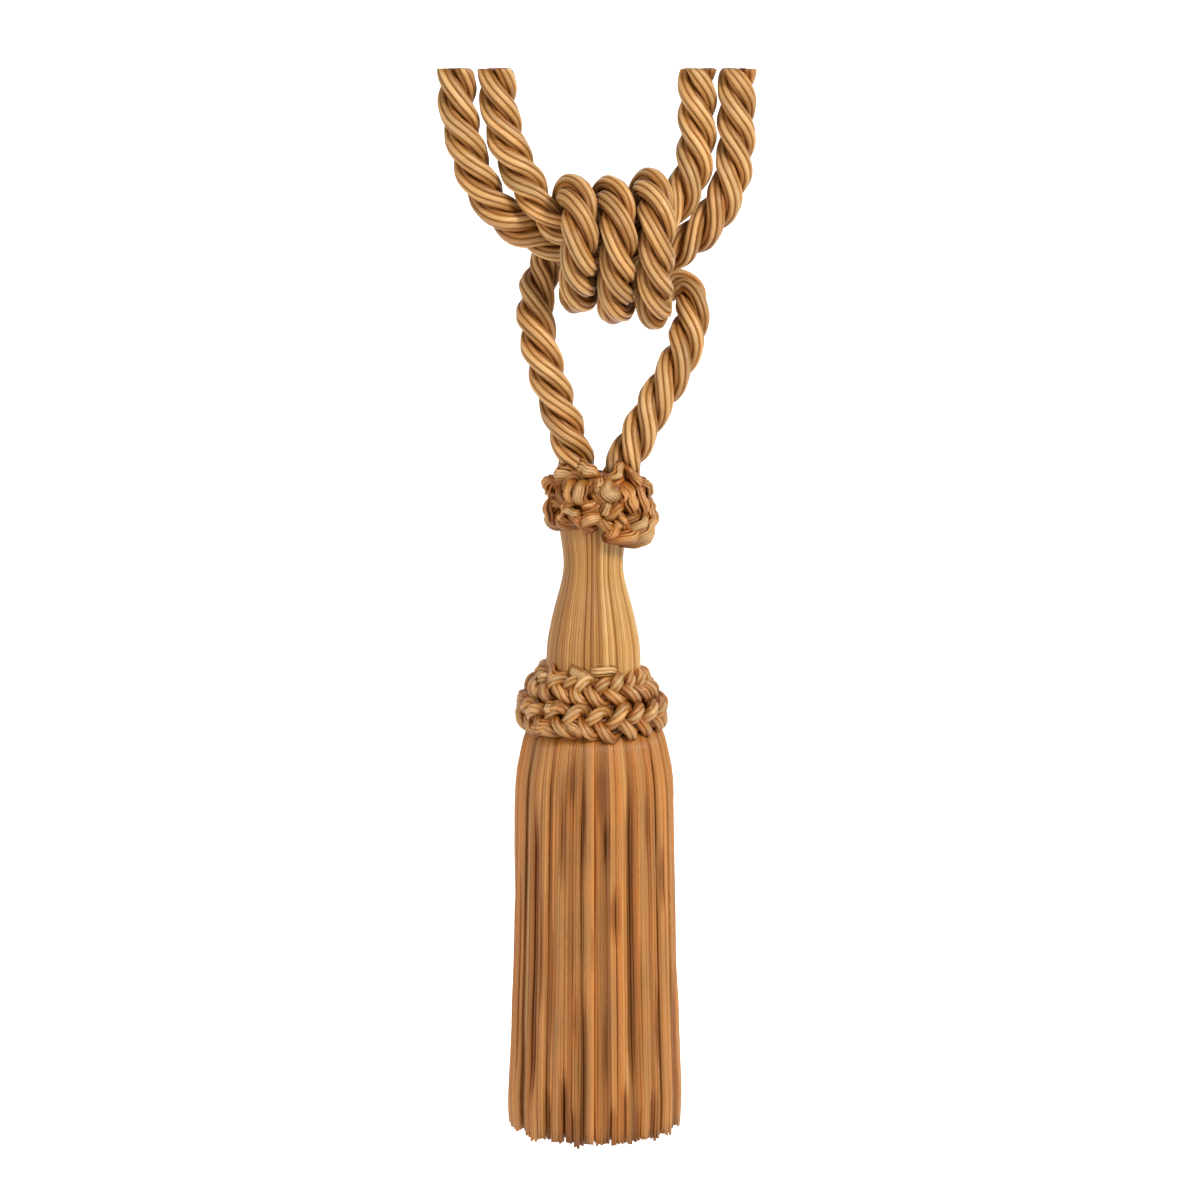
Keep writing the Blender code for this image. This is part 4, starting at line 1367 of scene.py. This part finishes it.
# ================================================================ studio
@dataclass
class Studio:
    """A pale sweep, soft lights and the camera at the photograph's angle."""

    target: Point = (1.6, 0.0, -171.2)
    distance: float = 1200.0
    elevation_deg: float = 10.0
    frame_width: float = 390.0
    sensor: float = 36.0
    floor_z: float = -470.0
    sweep_back: float = 1700.0
    sweep_front: float = 1700.0
    sweep_height: float = 1500.0
    sweep_bend: float = 500.0
    sweep_half_width: float = 2000.0
    sweep_aim: Point = (0.0, 1700.0, -200.0)

    def add_camera(self) -> None:
        """Set the camera up."""
        camera = bpy.data.cameras.new("camera")
        camera.sensor_width = self.sensor
        camera.lens = self.sensor * self.distance / self.frame_width
        camera.clip_start = 0.02
        holder = placed("camera", camera)
        pitch = math.radians(self.elevation_deg)
        x, y, z = self.target
        holder.location = (
            x * MM, (y - self.distance * math.cos(pitch)) * MM,
            (z + self.distance * math.sin(pitch)) * MM,
        )
        holder.rotation_euler = (math.pi / 2.0 - pitch, 0.0, 0.0)
        bpy.context.scene.camera = holder

    def add_sweep(self) -> None:
        """Lay the floor and its sweep up behind as one smooth sheet."""
        line = [(-self.sweep_front, self.floor_z)]
        for step in range(13):
            angle = math.pi / 2.0 * step / 12
            line.append((
                self.sweep_back - self.sweep_bend * (1.0 - math.sin(angle)),
                self.floor_z + self.sweep_bend * (1.0 - math.cos(angle)),
            ))
        line.append((self.sweep_back, self.sweep_height))
        points = [
            (side * self.sweep_half_width * MM, y * MM, z * MM)
            for y, z in line for side in (-1, 1)
        ]
        faces = [
            (2 * row, 2 * row + 1, 2 * row + 3, 2 * row + 2) for row in range(len(line) - 1)
        ]
        mesh = bpy.data.meshes.new("sweep")
        mesh.from_pydata(points, [], faces)
        mesh.shade_smooth()
        sheet = NodeSheet("studio_paper")
        sheet.surface.inputs["Base Color"].default_value = (0.93, 0.93, 0.93, 1.0)
        sheet.surface.inputs["Roughness"].default_value = 0.9
        mesh.materials.append(sheet.material)
        placed("sweep", mesh)

    def add_light(self, name: str, place: Point, size: float, power: float,
                  aim_at: Point | None = None) -> None:
        """Hang a square soft light.

        Args:
            name: the light's name.
            place: where, in millimetres.
            size: its side, in millimetres.
            power: in watts.
            aim_at: what it faces, or None for the tassel.
        """
        light = bpy.data.lights.new(name, "AREA")
        light.size = size * MM
        light.energy = power
        holder = placed(name, light)
        holder.location = tuple(MM * value for value in place)
        aim = Vector(aim_at or self.target) - Vector(place)
        holder.rotation_euler = aim.to_track_quat("-Z", "Y").to_euler()

    def build(self) -> None:
        """Light the stage."""
        self.add_sweep()
        self.add_light("key_light", (800.0, -900.0, 620.0), 380.0, 18.5)
        self.add_light("fill_light", (-1100.0, -800.0, 100.0), 900.0, 7.0)
        self.add_light("sweep_light", (0.0, 300.0, 500.0), 800.0, 18.0, self.sweep_aim)
        world = bpy.data.worlds.new("studio")
        bpy.context.scene.world = world
        world.use_nodes = True
        background = world.node_tree.nodes["Background"]
        background.inputs[0].default_value = (1.0, 1.0, 1.0, 1.0)
        background.inputs[1].default_value = 0.46
        bpy.context.scene.view_settings.view_transform = "Standard"


# ================================================================ the whole piece
@dataclass
class TiebackTassel:
    """The whole tieback tassel, sub-assembly by sub-assembly."""

    ropes: list[TwistedRope] = field(default_factory=lambda: [
        TwistedRope("rope_outer", 3, OUTER_ROUTE, (Pinch(68.0, 108.0, 0.84),), FarEnd.BARE),
        TwistedRope("rope_inner", 4, INNER_ROUTE, (Pinch(47.0, 96.0, 0.82),), FarEnd.BARE),
        TwistedRope("tassel_cord", 5, CordTurns().route(),
                    (Pinch(78.0, 398.0, 0.96), Pinch(390.0, 414.0, 0.86)), FarEnd.OBJECT),
    ])
    head: LaidHead = field(default_factory=LaidHead)
    trims: list[PlaitedTrim] = field(default_factory=lambda: [
        PlaitedTrim(
            "braid_collar", seed=11, axis_x=-1.1,
            wraps=(Wrap(-198.2, 17.2, 36.0), Wrap(-207.7, 21.7, 2.0)),
            leaves=20.5, half_width=4.3, half_depth=1.5, bundle_radius=1.10,
            yarn_radius=0.94, wander=1.05, crumple=1.5, tilt_drop=0.5,
            folds=COLLAR_FOLDS, seat=COLLAR_SEAT, bed=COLLAR_BED,
        ),
        PlaitedTrim(
            "top_ruff", seed=23, axis_x=1.0,
            wraps=(Wrap(-133.6, 12.5, 12.0), Wrap(-141.6, 12.9, -8.0)),
            leaves=12.0, half_width=3.7, half_depth=1.5, bundle_radius=1.10,
            yarn_radius=0.92, wander=1.3, tilt_drop=1.0, back_drop=4.2, shade=0.62,
            seat=RUFF_SEAT, bed=RUFF_BED,
            folds=RUFF_FRONT_FOLDS + scattered_folds((-135.2, -139.6, -144.2), 10, 88.0, 29),
        ),
    ])
    fringes: list[CutFringe] = field(default_factory=lambda: [
        CutFringe("skirt", 31, "skirt_yarn", (
            FringeLayer(186, 0.0, 0.0), FringeLayer(166, 0.8, 0.2, 0.85),
            FringeLayer(140, 1.9, 0.4, 0.55),
        ), replaced=True),
        CutFringe("skirt", 37, "skirt_inner_yarn", (
            FringeLayer(116, 3.6, 0.6, 0.2), FringeLayer(104, 5.4, 0.8, 0.0),
            FringeLayer(90, 7.3, 1.2, 0.0),
        ), replaced=False, stations=14, sides=5, yarn_radius=0.78),
    ])

    def build(self) -> None:
        """Build every sub-assembly in order, the cords first."""
        for part in (*self.ropes, self.head, *self.trims, *self.fringes):
            piece = part.build()
            LOG.info("%s is dressed", piece.name)


def main() -> None:
    """Dress the tassel and set up the studio."""
    logging.basicConfig(level=logging.INFO, format="%(name)s: %(message)s")
    studio = Studio()
    studio.add_camera()
    TiebackTassel().build()
    studio.build()


if __name__ == "__main__":
    main()
